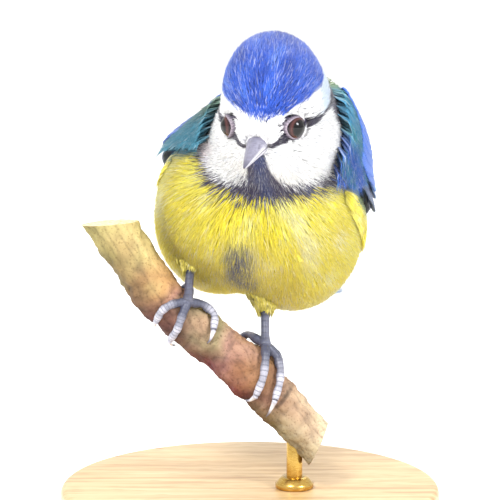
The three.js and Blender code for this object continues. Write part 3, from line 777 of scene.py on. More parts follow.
flesh = []
for name in ("head", "neck", "torso"):
    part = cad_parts[name]
    spots = mesh_points(part.data) * 1000
    grown = spots + unit(bird_level(spots)[1]) * 0.45
    flesh.append((grown, [tuple(face.vertices) for face in part.data.polygons]))

skin_material, skin_shader = finish("skin", "cfc9c0", 0.8)
spots, faces = join(flesh)
skin_stands_for = ["head", "neck", "torso", "thigh_left", "thigh_right"]
skin = mesh_piece("skin", spots, faces, skin_material, skin_stands_for)
remesh = skin.modifiers.new("one skin", "REMESH")
remesh.mode = "VOXEL"
remesh.voxel_size = SKIN_GRID
remesh.use_smooth_shade = True
bpy.context.view_layer.update()
evaluated = skin.evaluated_get(bpy.context.evaluated_depsgraph_get())
whole = bpy.data.meshes.new_from_object(evaluated)
skin.modifiers.clear()
skin.data = whole
spots = mesh_points(whole).astype(float) * 1000
skin_spots, _ = settle(spots, -coat_depth(spots) - 0.25, rounds=6)
whole.vertices.foreach_set("co", (skin_spots / 1000).ravel().astype(np.float32))
whole.update()


# Bill
# A short stout bill of two horn halves that meet along the line of the mouth, violet-grey with a
# lighter cutting edge and a small nostril pit on each side of its root.
BILL_ROOT = 7.6
BILL_TIP = 18.2
BILL_LEVEL = -2.1
BILL_HALF_WIDTH = 2.4
BILL_UPPER = 2.6
BILL_LOWER = 1.7
BILL_HOOK = 0.5
BILL_STEPS = 64
BILL_ROUND = 36

horn, horn_shader = finish("bill horn", "8f90a2", 0.3, Coat_Weight=0.3, Coat_Roughness=0.15)
horn_grain = speckle(horn, (1400, 2600, 2600), 4)
horn_stops = [(0.32, "8f8e9a"), (0.6, "ffffff")]
tint(horn, horn_shader, grained(horn, painted_tone(horn), horn_grain, horn_stops, 0.35))
relief(horn, horn_shader, horn_grain, 0.00005, 0.4)


def sheet(outer, inner):
    """A closed sheet between two grids of points, as points and faces."""
    rows, columns = outer.shape[:2]
    layer = rows * columns
    faces = []
    for i in range(rows - 1):
        for j in range(columns - 1):
            a = i * columns + j
            faces.append((a, a + 1, a + columns + 1, a + columns))
            faces.append((layer + a, layer + a + columns, layer + a + columns + 1, layer + a + 1))
    rim = list(range(columns - 1))
    rim += [i * columns + columns - 1 for i in range(rows - 1)]
    rim += [(rows - 1) * columns + j for j in range(columns - 1, 0, -1)]
    rim += [i * columns for i in range(rows - 1, 0, -1)]
    for k, a in enumerate(rim):
        b = rim[(k + 1) % len(rim)]
        faces.append((a, layer + a, layer + b, b))
    return np.concatenate([outer.reshape(-1, 3), inner.reshape(-1, 3)]), faces


def bill_half(top):
    """Outer and inner grids of half the bill."""
    length = BILL_TIP - BILL_ROOT - (0 if top else 0.5)
    way = 1 if top else -1
    height = BILL_UPPER if top else BILL_LOWER
    grids = []
    for bulge in (True, False):
        grid = []
        for u in np.linspace(0, 1, BILL_STEPS):
            for v in np.linspace(0, 1, BILL_ROUND):
                taper = (1 - u * 0.98) ** 0.62 * (1 - 0.25 * u)
                turn = math.pi * v
                round_ = max(math.sin(turn), 0)
                across = math.cos(turn) * BILL_HALF_WIDTH * taper
                ridge = round_**0.8 * height * taper if bulge else 0.0
                keel = 0.12 * max(0, round_ - 0.9) / 0.1 * taper if bulge and top else 0.0
                pit = 0.0
                if bulge and top:
                    near = math.hypot((u - 0.42) / 0.075, (round_ - 0.52) / 0.16)
                    pit = 0.42 * max(0, 1 - near**2)
                    across -= math.copysign(pit, across)
                mouth = BILL_LEVEL - BILL_HOOK * u**2.4 + way * 0.06
                level = mouth + way * (ridge + keel - pit * 0.5)
                grid.append(HEAD.place(BILL_ROOT + u * length, across, level))
        grids.append(np.array(grid).reshape(BILL_STEPS, BILL_ROUND, 3))
    return grids


for top, name in ((True, "bill_upper"), (False, "bill_lower")):
    outer, inner = bill_half(top)
    spots, faces = sheet(outer, inner)
    if not top:
        faces = [face[::-1] for face in faces]
    piece = mesh_piece(f"{name}_horn", spots, faces, horn, [name])
    shares, rounds = np.linspace(0, 1, BILL_STEPS), np.linspace(0, 1, BILL_ROUND)
    u, v = np.meshgrid(shares, rounds, indexing="ij")
    round_ = np.sin(np.pi * v)
    edge = 1 - rise(round_, 0.05, 0.5)
    ridge = rise(round_, 0.86, 0.98)
    stops = paint([(0, "6d6c7e"), (0.45, "8a8899"), (0.8, "7c7a8a"), (1, "4c4b5c")])
    colours = blend_stops(u, stops)
    cutting_edge = edge * (0.85 if top else 0.7) * rise(u, 0.15, 0.4)
    colours = colours + (linear("dddbe2") - colours) * cutting_edge[..., None]
    dark_ridge = ridge * 0.55 * (1 - u) * (1 if top else 0)
    colours = colours + (linear("4a4a60") - colours) * dark_ridge[..., None]
    colours = colours.reshape(-1, 3)
    dark = np.broadcast_to(linear("4a4658"), colours.shape)
    set_tone(piece, np.concatenate([colours, dark]))


# Eyes
# Dark brown eyes: a clear glossy front over a brown iris with a black pupil, in a ring of small pale
# lid scales. Each sits as deep in the head as a real one.
EYE_PUPIL = 1.42
EYE_IRIS = 2.05

for side_name, (centre, outward) in EYES.items():
    gloss = {"Coat_Weight": 0.3, "Coat_Roughness": 0.02, "Specular_IOR_Level": 0.25}
    glass, glass_shader = finish(f"eye {side_name}", "0c0706", 0.05, **gloss)
    spot = node(glass, "ShaderNodeNewGeometry").outputs["Position"]
    offset = node(
        glass, "ShaderNodeVectorMath", {0: spot, 1: tuple(centre / 1000)}, operation="SUBTRACT"
    ).outputs["Vector"]
    across = node(
        glass, "ShaderNodeVectorMath", {0: offset, 1: tuple(outward)}, operation="CROSS_PRODUCT"
    ).outputs["Vector"]
    far = node(glass, "ShaderNodeVectorMath", {0: across}, operation="LENGTH").outputs["Value"]
    share = node(
        glass, "ShaderNodeMath", {0: far, 1: 1000 / EYE_RADIUS}, operation="MULTIPLY"
    ).outputs["Value"]
    threads = speckle(glass, (2400, 2400, 2400), 3)
    wander = node(
        glass, "ShaderNodeMath", {0: threads, 1: 0.06, 2: share}, operation="MULTIPLY_ADD"
    ).outputs["Value"]
    iris_stops = [
        (EYE_PUPIL / EYE_RADIUS, "020102"),
        (EYE_PUPIL / EYE_RADIUS + 0.06, "1f0f0e"),
        (0.76, "4d2c2a"),
        (EYE_IRIS / EYE_RADIUS - 0.04, "3a2122"),
        (EYE_IRIS / EYE_RADIUS + 0.04, "07040a"),
    ]
    tint(glass, glass_shader, ramp(glass, wander, iris_stops))
    up = unit(np.cross(np.cross(outward, (0, 0, 1)), outward))
    side_way = np.cross(outward, up)
    rows, sides = 40, 64
    spots = []
    for i in range(1, rows):
        polar = math.pi * i / rows
        bulge = 1 + 0.05 * max(0, math.cos(polar)) ** 4
        for turn in np.linspace(0, 2 * math.pi, sides, endpoint=False):
            way = (
                outward * math.cos(polar) * bulge
                + (up * math.cos(turn) + side_way * math.sin(turn)) * math.sin(polar)
            )
            spots.append(centre + way * EYE_RADIUS)
    spots.append(centre + outward * EYE_RADIUS * 1.05)
    spots.append(centre - outward * EYE_RADIUS)
    faces = ring_faces(rows - 1, sides)
    mesh_piece(f"eyeball_{side_name}", spots, faces, glass, [f"eye_{side_name}"])

lid_skin, lid_shader = finish("lid skin", "b9aeb6", 0.5)
lid_grain = speckle(lid_skin, (4200, 4200, 4200), 2)
lid_stops = [(0.35, "8d8793"), (0.6, "ffffff")]
tint(lid_skin, lid_shader, grained(lid_skin, painted_tone(lid_skin), lid_grain, lid_stops, 0.4))
relief(lid_skin, lid_shader, lid_grain, 0.00006, 0.6)

# The opening's reach sideways, and how much less it is above and below. The rim's section runs from
# its inner edge outwards, as (out from the opening's edge, over the ball).
LID_OPENING = (2.16, 0.3)
LID_SECTION = [
    (0, 0.02),
    (0.06, 0.14),
    (0.17, 0.14),
    (0.3, 0.06),
    (0.45, -0.12),
    (0.4, -0.7),
    (0.05, -0.5),
]
LID_COLOURS = ["4a4150", "a0929e", "7d7380", "3f3749", "2f2a40", "2f2a40", "3b3447"]
LID_BEADS = 26
BEAD_HEIGHT = 0.03
BEADED = (1, 2, 3)

for side_name, (centre, outward) in EYES.items():
    up = unit(np.cross(np.cross(outward, (0, 0, 1)), outward))
    side_way = np.cross(outward, up)
    spots, faces, tones = [], [], []
    rounds, sides = 104, len(LID_SECTION)
    for i in range(rounds):
        turn = 2 * math.pi * i / rounds
        radial = up * math.cos(turn) + side_way * math.sin(turn)
        opening = LID_OPENING[0] - LID_OPENING[1] * abs(math.cos(turn)) ** 1.6
        for k, ((beyond, over), colour) in enumerate(zip(LID_SECTION, LID_COLOURS)):
            bead = BEAD_HEIGHT * math.cos(turn * LID_BEADS) if k in BEADED else 0
            out = opening + beyond + bead
            ahead = math.sqrt(max(EYE_RADIUS**2 - min(out, EYE_RADIUS) ** 2, 0)) + over
            spots.append(centre + radial * out + outward * ahead)
            # The beads' crests are painted lighter and the hollows between them darker, as painted light
            # and shade.
            tones.append(linear(colour) * (1 + 5 * bead))
            after, above = (i + 1) % rounds, (k + 1) % sides
            faces.append((i * sides + k, i * sides + above, after * sides + above, after * sides + k))
    lids = mesh_piece(f"lids_{side_name}", spots, faces, lid_skin, ["head"])
    set_tone(lids, np.array(tones))


# Markings
# Cobalt cap inside a white ring, a dark line through each eye to the nape, white cheeks, a dark bib
# that runs into the collar, yellow underparts with a dark middle streak, and an olive-blue back.
WHITE = linear("fbfbfd")
INK = linear("3d3550")
# Outlines on the head by degrees round from the forehead, left positive: how many degrees up the cap
# begins, and how far from the head's middle the cheek and the collar end.
CAP_EDGE = [
    (-180, 30), (-120, 30), (-69, 30), (-45, 29), (-28, 25), (-10, 20), (14, 18), (34, 20),
    (55, 25), (85, 28), (122, 26), (180, 30),
]
CHEEK_FAR = [
    (-180, 10), (-125, 12.5), (-110, 15), (-83, 16.6), (-60, 16), (-45, 15), (-30, 13.3),
    (-10, 11.9), (4, 11.8), (14, 12.6), (32, 13.8), (61, 14.5), (91, 15.6), (117, 17), (125, 14.5),
    (180, 10),
]
COLLAR_FAR = [
    (-180, 17), (-110, 18), (-77, 18), (-60, 18.2), (-35, 17), (-11, 16.9), (9, 16.4), (46, 16.4),
    (84, 17.2), (107, 18.4), (125, 18.5), (180, 17),
]


def wrapped(degrees, outline):
    """An outline's value at angles round the head."""
    places, values = zip(*outline)
    return np.interp(degrees, places, values)


def shade(colours, over, weight):
    """Colours covered by another, by a weight for each."""
    return colours + (over - colours) * np.clip(weight, 0, 1)[:, None]


def ruffle(points, scale, seed=0.0):
    """Smooth noise at points, about -1 to 1."""
    shift = Vector((seed, seed * 0.7, -seed))
    return np.array([noise.noise(Vector(point) * scale + shift) for point in points])


def round_and_up(head):
    """Degrees round from the forehead and up from its level, for points in the head's frame."""
    level_reach = np.hypot(head[:, 0], head[:, 1])
    return (
        np.degrees(np.arctan2(head[:, 1], head[:, 0])),
        np.degrees(np.arctan2(head[:, 2], level_reach)),
    )


def down_from_ridge(body):
    """Degrees down from the back's ridge, for points in the body's frame."""
    return np.degrees(np.arctan2(np.abs(body[:, 1]), body[:, 2]))


def back_colours(points):
    """The back and shoulders: olive behind, and green to teal to cobalt beside the neck."""
    body = TORSO.local(points)
    coarse = ruffle(points, 0.3, 7)
    olive_stops = paint([(0.1, "86a06a"), (0.5, "7c9254"), (0.9, "5f7d58")])
    olive = blend_stops(0.5 + 0.5 * coarse, olive_stops)
    low = 1 - rise(body[:, 2] + 2 * coarse, 4, 11)
    right = shade(np.broadcast_to(linear("5b7d6c"), olive.shape), linear("4b94ae"), low)
    left = shade(np.broadcast_to(linear("3f8fb6"), olive.shape), linear("3563c0"), low)
    left = shade(left, linear("3f8a86"), 0.6 * rise(coarse, 0.05, 0.35))
    beside = shade(right, left, rise(body[:, 1], -2, 2))
    beside_share = rise(body[:, 0], 3, 9) * rise(down_from_ridge(body), 22, 40)
    behind = shade(olive, linear("a3b364"), rise(-body[:, 0], 8, 14))
    return shade(behind, beside, beside_share)


def markings(points):
    """The bird's colours at points of its surface."""
    head = HEAD.local(points)
    body = TORSO.local(points)
    round_head, raised = round_and_up(head)
    sideways = np.abs(round_head)
    far = np.linalg.norm(head, axis=1)
    from_ridge = down_from_ridge(body)
    coarse = ruffle(points, 0.22)
    fine = ruffle(points, 0.7, 5)

    yellow_stops = paint([(0.1, "fbf285"), (0.45, "f9ea30"), (0.75, "f3e12c"), (1, "dccb4a")])
    yellow = blend_stops(0.5 + 0.5 * coarse, yellow_stops)
    yellow = shade(yellow, linear("fbf7c4"), 0.75 * rise(ruffle(points, 0.16, 11), 0.12, 0.5))
    yellow = shade(yellow, linear("b9ae52"), 0.4 * rise(fine, 0.25, 0.7))
    colours = shade(yellow, linear("f5f3dc"), rise(-body[:, 0], 9, 16) * rise(from_ridge, 100, 130))

    streak = np.exp(-(((body[:, 1] - 1.2) / 2.7) ** 2)) * rise(-body[:, 2], 9, 12)
    streak = streak * rise(body[:, 0], -1, 3.5) * (1 - rise(body[:, 0], 11.5, 15.5))
    colours = shade(colours, linear("5c5d6e"), 1.5 * streak * (0.62 + 1.1 * fine))

    olive = back_colours(points)
    edge = 82 + 6 * rise(body[:, 0], 8, 16) - 4 * rise(-body[:, 0], 4, 16)
    colours = shade(colours, olive, 1 - rise(from_ridge + 5 * fine, edge - 3, edge + 3))

    collar = far - wrapped(round_head, COLLAR_FAR)
    ink = shade(np.broadcast_to(INK, colours.shape), linear("3b4f84"), 0.5 * rise(coarse, 0, 0.4))
    ink = shade(ink, linear("2f4a8c"), 0.35 * np.exp(-((round_head / 10) ** 2)))
    colours = shade(colours, ink, 1 - rise(collar + 0.5 * fine, -0.35, 0.35))

    nape = rise(sideways, 158, 172) * rise(-raised, 8, 13) * (1 - rise(-raised, 20, 28))
    colours = shade(colours, linear("dfe4e4"), 0.7 * nape)

    cheek = far - wrapped(round_head, CHEEK_FAR)
    inside = (1 - rise(cheek + 0.35 * fine, -0.3, 0.3)) * (1 - rise(sideways, 110, 117))
    bib = rise(11 + 8 * rise(-raised, 25, 60) - np.abs(round_head + 3), -1.5, 1.5) * rise(-raised, 17, 20)
    white = np.broadcast_to(WHITE, colours.shape)
    blush = np.exp(-(((round_head + 88) / 12) ** 2)) * rise(-raised, 22, 27)
    white = shade(white, linear("e6c9cf"), 0.7 * blush)
    white = shade(white, linear("dfe3ee"), 0.5 * rise(fine, 0.1, 0.6))
    colours = shade(colours, white, inside * (1 - bib))

    line_at = -11 + 10.5 * rise(sideways, 5, 66) + 4 * rise(sideways, 105, 170)
    half = 2.4 + 3.2 * rise(sideways, 14, 32) - 3.8 * rise(sideways, 62, 96)
    half = half + 13 * rise(sideways, 108, 160)
    cap_edge = wrapped(round_head, CAP_EDGE)
    cap = rise(raised + 2.5 * fine, cap_edge - 1, cap_edge + 1)
    ring = rise(raised - line_at, 0, 1) * (1 - cap)
    white = shade(white, linear("a8cbee"), 0.5 * rise(sideways, 88, 104))
    colours = shade(colours, white, ring * (1 - rise(far, 14.5, 15.5)))
    line = 1 - rise(np.abs(raised - line_at) + 1.2 * fine, half - 0.8, half + 0.8)
    line = line * rise(sideways, 4, 9) * (1 - rise(far, 15, 16.5))
    colours = shade(colours, linear("2f2a40"), line)

    blue_stops = paint([(0.1, "4a7ce0"), (0.45, "2459cc"), (0.75, "1d49b2"), (1, "193c98")])
    blue = blend_stops(0.5 + 0.5 * ruffle(points, 0.35, 3), blue_stops)
    # Pale streaks on the cap's right side, which faces the key light, are painted light.
    blue = shade(blue, linear("7da5f2"), 0.5 * rise(-head[:, 1], 3, 8) * rise(fine, -0.3, 0.5))
    return shade(colours, blue, cap)


down = speckle(skin_material, (2200, 2200, 2200), 2)
down_stops = [(0.35, "9a9690"), (0.6, "ffffff")]
downy = grained(skin_material, painted_tone(skin_material), down, down_stops, 0.5)
tint(skin_material, skin_shader, downy)
relief(skin_material, skin_shader, down, 0.0002, 0.6)
set_tone(skin, markings(skin_spots))


# Body feathers
# Thousands of small soft feathers over the skin, each a fan of fine tapered barbs. They lie back from
# the bill over the head and down the body to the tail, shortest round the bill and eyes.
rng = np.random.default_rng(7)
ROOT_TRIES = 60000
SCATTER_CELL = 0.7
PATCH = 0.003
DOWN_GREY = linear("a39c92")
DOWN_SHARE = 0.25
CLEAR_OF_EYE = 2.62
CLEAR_OF_TAIL = -25.5
# Where the patches of plumage meet: how far out the head reaches, how many degrees up its crown and
# round to its nape, how many down from the back's ridge the back and the breast end, and the vent.
HEAD_REACH = 14.5
CROWN_FROM = 24
NAPE_FROM = 122
BACK_TO = 62
BREAST_TO = 132
VENT_FROM = -9
# A barb is a three-sided blade: triangles over its root's points 0 to 2, its middle's 3 to 5, its tip 6.
BARB_END = [(0, 2, 1)]
BARB_SIDES = [(0, 1, 4), (0, 4, 3), (1, 2, 5), (1, 5, 4), (2, 0, 3), (2, 3, 5)]
BARB_TIP = [(3, 4, 6), (4, 5, 6), (5, 3, 6)]
BARB_FACES = np.array(BARB_END + BARB_SIDES + BARB_TIP)

feather, feather_shader = finish(
    "body feathers", "e6d640", 0.62, Sheen_Weight=0.12, Sheen_Roughness=0.5
)
# Fine noise darkens the feathers, as painted shade between their barbs.
barbs = speckle(feather, (3000, 3000, 1500), 2)
barb_shade_stops = [(0.3, "c6c2ba"), (0.5, "ffffff")]
tint(feather, feather_shader, grained(feather, painted_tone(feather), barbs, barb_shade_stops, 0.25))


def flow_at(points, outs):
    """The way the coat lies at points of the skin: back from the bill, and tailwards on the body."""
    from_bill = unit(points - BILL_BASE)
    tailwards = TORSO.heading(-1, 0, -0.06)
    share = rise(np.linalg.norm(points - HEAD.at, axis=1), 11, 19)[:, None]
    way = from_bill * (1 - share) + tailwards * share
    way = way - (way * outs).sum(1, keepdims=True) * outs
    return unit(way)


def azimuthal(points, centre, facing):
    """Equal-area places from 0 to 1 for points round a centre, on a map whose middle faces a way."""
    ways = unit(points - centre)
    east = unit(np.cross(facing, (0.3, 0.1, 0.9)))
    north = np.cross(east, facing)
    reach = np.sqrt(2 / np.maximum(1 + ways @ facing, 0.02))[:, None]
    flat = np.stack([ways @ east, ways @ north], axis=1) * reach
    return 0.5 + 0.24 * flat


def write_patch(piece, places):
    """Writes each point's place on the coat's map into the piece's OFBake layer."""
    corners = np.empty(len(piece.data.loops), np.int32)
    piece.data.loops.foreach_get("vertex_index", corners)
    patch = places[corners].astype(np.float32)
    piece.data.uv_layers.new(name="OFBake").data.foreach_set("uv", patch.ravel())


def plumage(
    name,
    roots,
    flows,
    length,
    width,
    count,
    levels,
    stands_for,
    level=bird_level,
    colour=markings,
    splay=17,
    barb=0.3,
    map_depth=9,
):
    """Fans of barbs over a surface, joined in one piece.

    Levels are the heights over the surface halfway along a barb and at its tip.
    """
    amount = len(roots)
    across = np.tile(np.linspace(-1, 1, count), amount) + rng.normal(0, 0.08, amount * count)
    which = np.repeat(np.arange(amount), count)
    outs = unit(level(roots)[1])[which]
    lies = flows[which]
    sides = np.cross(outs, lies)
    angle = np.radians(across * splay + rng.normal(0, 3.0, len(across)) + rng.normal(0, 5, amount)[which])
    ways = lies * np.cos(angle)[:, None] + sides * np.sin(angle)[:, None]
    long = length[which] * (1 - 0.2 * across**2) * rng.uniform(0.86, 1.1, len(across))
    start = roots[which] + sides * (across * width[which] * 0.16)[:, None]
    lifts = rng.normal(0, 0.07, len(across)) + rng.normal(0, 0.06, amount)[which]
    middle_level, tip_level = levels
    middle, _ = settle(start + ways * (long * 0.52)[:, None], 0, level, 1)
    middle, middle_outs = settle(middle, middle_level(middle) + lifts * 0.6, level, 2)
    tips, _ = settle(start + ways * long[:, None], 0, level, 1)
    tips, _ = settle(tips, tip_level(tips) + lifts, level, 2)
    roll = rng.normal(0, 0.35, len(across))[:, None]
    cross_way = unit(np.cross(middle_outs, tips - start))
    cross_way = unit(cross_way * np.cos(roll) + middle_outs * np.sin(roll))
    thick = barb * (0.6 + 0.4 * width[which] / width.max())
    thick = (thick * rng.uniform(0.75, 1.25, len(across)))[:, None]
    ridge = middle_outs * thick * 0.3
    spots = np.stack(
        [
            start - cross_way * thick * 0.35,
            start + cross_way * thick * 0.35,
            start + ridge * 0.6,
            middle - cross_way * thick * 0.5,
            middle + cross_way * thick * 0.5,
            middle + ridge,
            tips,
        ],
        axis=1,
    )
    faces = (BARB_FACES[None] + 7 * np.arange(len(spots))[:, None, None]).reshape(-1, 3)
    reach = rng.uniform(0.35, 1.15, (len(start), 1))
    seen = colour(start + (tips - start) * reach)
    each_barb = rng.uniform(0.9, 1.08, (len(seen), 1))
    each_feather = rng.uniform(0.94, 1.06, (amount, 1))[which]
    seen = seen * each_barb * each_feather
    dark, light = rng.random((2, len(seen), 1))
    seen = np.where(dark < 0.1, seen * 0.78, seen)
    seen = np.where(light < 0.12, seen + (1 - seen) * 0.28, seen)
    below = seen + (DOWN_GREY - seen) * DOWN_SHARE
    tones = np.stack([below] * 3 + [seen] * 3 + [np.minimum(seen * 1.04, 1)], axis=1)

    mesh = bpy.data.meshes.new(name)
    flat_spots = (spots / 1000).reshape(-1).astype(np.float32)
    mesh.vertices.add(len(flat_spots) // 3)
    mesh.vertices.foreach_set("co", flat_spots)
    mesh.loops.add(faces.size)
    mesh.loops.foreach_set("vertex_index", faces.ravel().astype(np.int32))
    mesh.polygons.add(len(faces))
    mesh.polygons.foreach_set("loop_start", np.arange(0, faces.size, 3, dtype=np.int32))
    mesh.polygons.foreach_set("use_smooth", np.ones(len(faces), bool))
    mesh.update(calc_edges=True)
    piece = set_in_scene(name, mesh, feather, stands_for)
    set_tone(piece, tones.reshape(-1, 3))
    centre = roots.mean(0) - unit(outs.mean(0)) * map_depth
    places = azimuthal(roots, centre, unit(outs.mean(0)))[which]
    along = np.array([0, 0, 0.05, 0.5, 0.5, 0.5, 1.0])
    beside = np.array([-0.35, 0.35, 0, -0.35, 0.35, 0, 0])
    patch = np.stack(
        [
            places[:, :1] + PATCH * (across[:, None] * 0.4 + beside * 0.16),
            places[:, 1:] + PATCH * np.broadcast_to(along - 0.5, (len(places), 7)),
        ],
        axis=2,
    ).reshape(-1, 2)
    write_patch(piece, patch)


def spacing_at(points):
    """How far apart the feathers' roots are."""
    from_bill = np.linalg.norm(points - BILL_BASE, axis=1)
    from_head = np.linalg.norm(points - HEAD.at, axis=1)
    return 0.3 + 0.14 * rise(from_bill, 3, 9) + 0.22 * rise(from_head, 11, 20)


def length_at(points):
    """How long the feathers are: shortest round the bill and eyes."""
    from_bill = np.linalg.norm(points - BILL_BASE, axis=1)
    from_head = np.linalg.norm(points - HEAD.at, axis=1)
    raised = HEAD.local(points)[:, 2]
    near_eye = rise(eye_distance(points), 2, 6)
    face = 1.1 + 1.5 * rise(from_bill, 2, 9) + 0.9 * rise(raised, 1, 7)
    return (face + 4.2 * rise(from_head, 11.5, 19)) * (0.55 + 0.45 * near_eye)


def scatter(tries):
    """Root places spread over the skin, no two closer than the spacing there."""
    whole.calc_loop_triangles()
    corners = np.empty(len(whole.loop_triangles) * 3, np.int32)
    whole.loop_triangles.foreach_get("vertices", corners)
    a, b, c = skin_spots[corners.reshape(-1, 3)].transpose(1, 0, 2)
    area = np.linalg.norm(np.cross(b - a, c - a), axis=1) / 2
    weight = area / spacing_at((a + b + c) / 3) ** 2
    chosen = rng.choice(len(area), tries, p=weight / weight.sum())
    r1, r2 = np.sqrt(rng.random(tries)), rng.random(tries)
    spots = a[chosen] * (1 - r1)[:, None] + b[chosen] * (r1 * (1 - r2))[:, None]
    spots = spots + c[chosen] * (r1 * r2)[:, None]
    around = [(x, y, z) for x in (-1, 0, 1) for y in (-1, 0, 1) for z in (-1, 0, 1)]
    kept, grid = [], {}
    for i, (spot, gap) in enumerate(zip(spots, spacing_at(spots))):
        x, y, z = (int(part) for part in spot // SCATTER_CELL)
        near = [other for dx, dy, dz in around for other in grid.get((x + dx, y + dy, z + dz), ())]
        if all(((spots[other] - spot) ** 2).sum() >= gap * gap for other in near):
            grid.setdefault((x, y, z), []).append(i)
            kept.append(i)
    return spots[kept]


roots = scatter(ROOT_TRIES)
roots, outs = settle(roots, -coat_depth(roots) * 1.02 - 0.2)
head_spots = HEAD.local(roots)
body_spots = TORSO.local(roots)
beside_bill = np.abs(head_spots[:, 1]) < 1.7
beside_bill = beside_bill & (np.abs(head_spots[:, 2] - BILL_LEVEL - 0.3) < 1.6)
in_bill = (head_spots[:, 0] > 9.4) & beside_bill
under_tail = body_spots[:, 0] < CLEAR_OF_TAIL
clear = (eye_distance(roots) > CLEAR_OF_EYE) & ~in_bill & ~under_tail
roots, outs, head_spots, body_spots = (some[clear] for some in (roots, outs, head_spots, body_spots))
flows = flow_at(roots, outs)
length = length_at(roots)
round_head, raised = round_and_up(head_spots)
from_ridge = down_from_ridge(body_spots)
on_head = np.linalg.norm(head_spots, axis=1) < HEAD_REACH
left = body_spots[:, 1] > 0
face_left = round_head > 0
under_crown = on_head & (raised <= CROWN_FROM)
on_nape = np.abs(round_head) > NAPE_FROM
on_back = from_ridge < BACK_TO
behind = body_spots[:, 0] < VENT_FROM
on_belly = ~on_head & ~behind & (from_ridge >= BREAST_TO)
on_breast = ~on_head & ~behind & ~on_back & (from_ridge < BREAST_TO)
PATCHES = {
    "feathers_crown": on_head & ~under_crown,
    "feathers_nape": under_crown & on_nape,
    "feathers_face_left": under_crown & ~on_nape & face_left,
    "feathers_face_right": under_crown & ~on_nape & ~face_left,
    "feathers_back": ~on_head & on_back,
    "feathers_vent": ~on_head & ~on_back & behind,
    "feathers_belly_left": on_belly & left,
    "feathers_belly_right": on_belly & ~left,
    "feathers_breast_left": on_breast & left,
    "feathers_breast_right": on_breast & ~left,
}
for name, chosen in PATCHES.items():
    on_the_head = "crown" in name or "face" in name or "nape" in name
    plumage(
        name,
        roots[chosen],
        flows[chosen],
        length[chosen],
        length[chosen] * 0.42,
        8 if on_the_head else 11,
        (lambda spots: -0.42 * coat_depth(spots), lambda spots: -0.05 * coat_depth(spots) - 0.05),
        ["head"] if on_the_head else ["torso", "neck"],
        barb=0.2 if on_the_head else 0.27,
        splay=15,
    )


# Thigh feathers
# A short feathered sleeve over each shank where it leaves the belly, of small soft yellow feathers
# that lie down the leg and end on its bare scaled part.
THIGH_FEATHERS = 150
SLEEVE_LOW = 4.6
SLEEVE_HIGH = 11.0


def sleeve(along):
    """The sleeve's radius at a place up the shank."""
    return 1.3 + 2.7 * rise(along, 4.0, 10.5)


def sleeve_skin(share, _):
    """The radius of the skin under the sleeve's feathers."""
    return sleeve(SLEEVE_LOW + (SLEEVE_HIGH - SLEEVE_LOW) * share) - 0.35 - 0.4 * (1 - share)


def thigh_colours(points):
    """Yellow with olive shades."""
    stops = paint([(0, "efe27a"), (0.6, "e0d048"), (1, "b3a656")])
    return blend_stops(rise(ruffle(points, 0.9, 2), -0.5, 0.5), stops)


for side_name, foot in FEET.items():
    low, up = foot["low"], foot["up"]

    def sleeve_level(points, low=low, up=up):
        offset = points - low
        along = offset @ up
        radial = offset - along[:, None] * up
        wide = np.linalg.norm(radial, axis=1)
        return wide - sleeve(along), radial / wide[:, None]

    ends = [low + up * far for far in (SLEEVE_LOW, (SLEEVE_LOW + SLEEVE_HIGH) / 2, SLEEVE_HIGH)]
    spots, faces, _, _ = limb(ends, lambda _: FRONT, sleeve_skin, 16, 24)
    piece = mesh_piece(
        f"thigh_skin_{side_name}", spots, faces, skin_material, [f"thigh_{side_name}"]
    )
    set_tone(piece, np.broadcast_to(linear("e9dc6a"), (len(spots), 3)))
    count = THIGH_FEATHERS
    along = rng.uniform(6.2, 11.5, count)
    turn = rng.uniform(0, 2 * math.pi, count)
    across = unit(np.cross(up, (0, 1, 0)))
    ring = np.cos(turn)[:, None] * across + np.sin(turn)[:, None] * np.cross(up, across)
    some = low + along[:, None] * up + ring * (sleeve(along) - 0.5)[:, None]
    outside = bird_level(some)[0] > -1.6
    plumage(
        f"feathers_thigh_{side_name}",
        some[outside],
        np.broadcast_to(-up, some[outside].shape),
        rng.uniform(1.8, 2.6, count)[outside],
        np.full(outside.sum(), 1.6),
        9,
        (lambda spots: -0.12, lambda spots: 0.0),
        [f"thigh_{side_name}"],
        level=sleeve_level,
        colour=thigh_colours,
        barb=0.22,
        map_depth=3,
    )


# Wings
# Folded wings against the sides: blue flight feathers in tiers, long primaries lowest, then secondaries
# and tertials, and rows of coverts over their roots, the greater row tipped white as the wing's bar.
LAY = 0.75
BED_RADIUS = 13
# Each row's kind and count, its first and last feather's root, tip and width, and its heights at
# root and tip. Places are forwards along the body and degrees down from the back's ridge.
WING_ROWS = [
    ("primary", 8, ((0, 72), (-37, 44), 4.4), ((-2, 56), (-31, 30), 4.8), 0.3, 0.4),
    ("secondary", 6, ((-1, 58), (-28, 32), 5.4), ((0, 42), (-24, 22), 5.6), 0.9, 0.9),
    ("tertial", 3, ((2, 42), (-21, 26), 6.0), ((4, 28), (-15, 18), 6.0), 1.4, 1.4),
    ("primary covert", 6, ((10, 75), (-7, 71), 2.6), ((8, 64), (-5, 60), 3.2), 0.8, 0.9),
    ("greater covert", 9, ((7, 66), (-6, 62), 3.6), ((8, 32), (-4, 26), 4.0), 1.4, 1.6),
    ("median covert", 8, ((11, 68), (0.5, 65), 3.6), ((11, 36), (1.5, 32), 4.2), 1.7, 2.0),
    ("lesser covert", 9, ((13, 70), (4.5, 68), 3.0), ((13, 34), (5, 31), 3.6), 1.8, 2.2),
    ("lesser covert", 8, ((15, 68), (8, 67), 2.8), ((15.5, 34), (8, 32), 3.4), 1.7, 2.2),
]
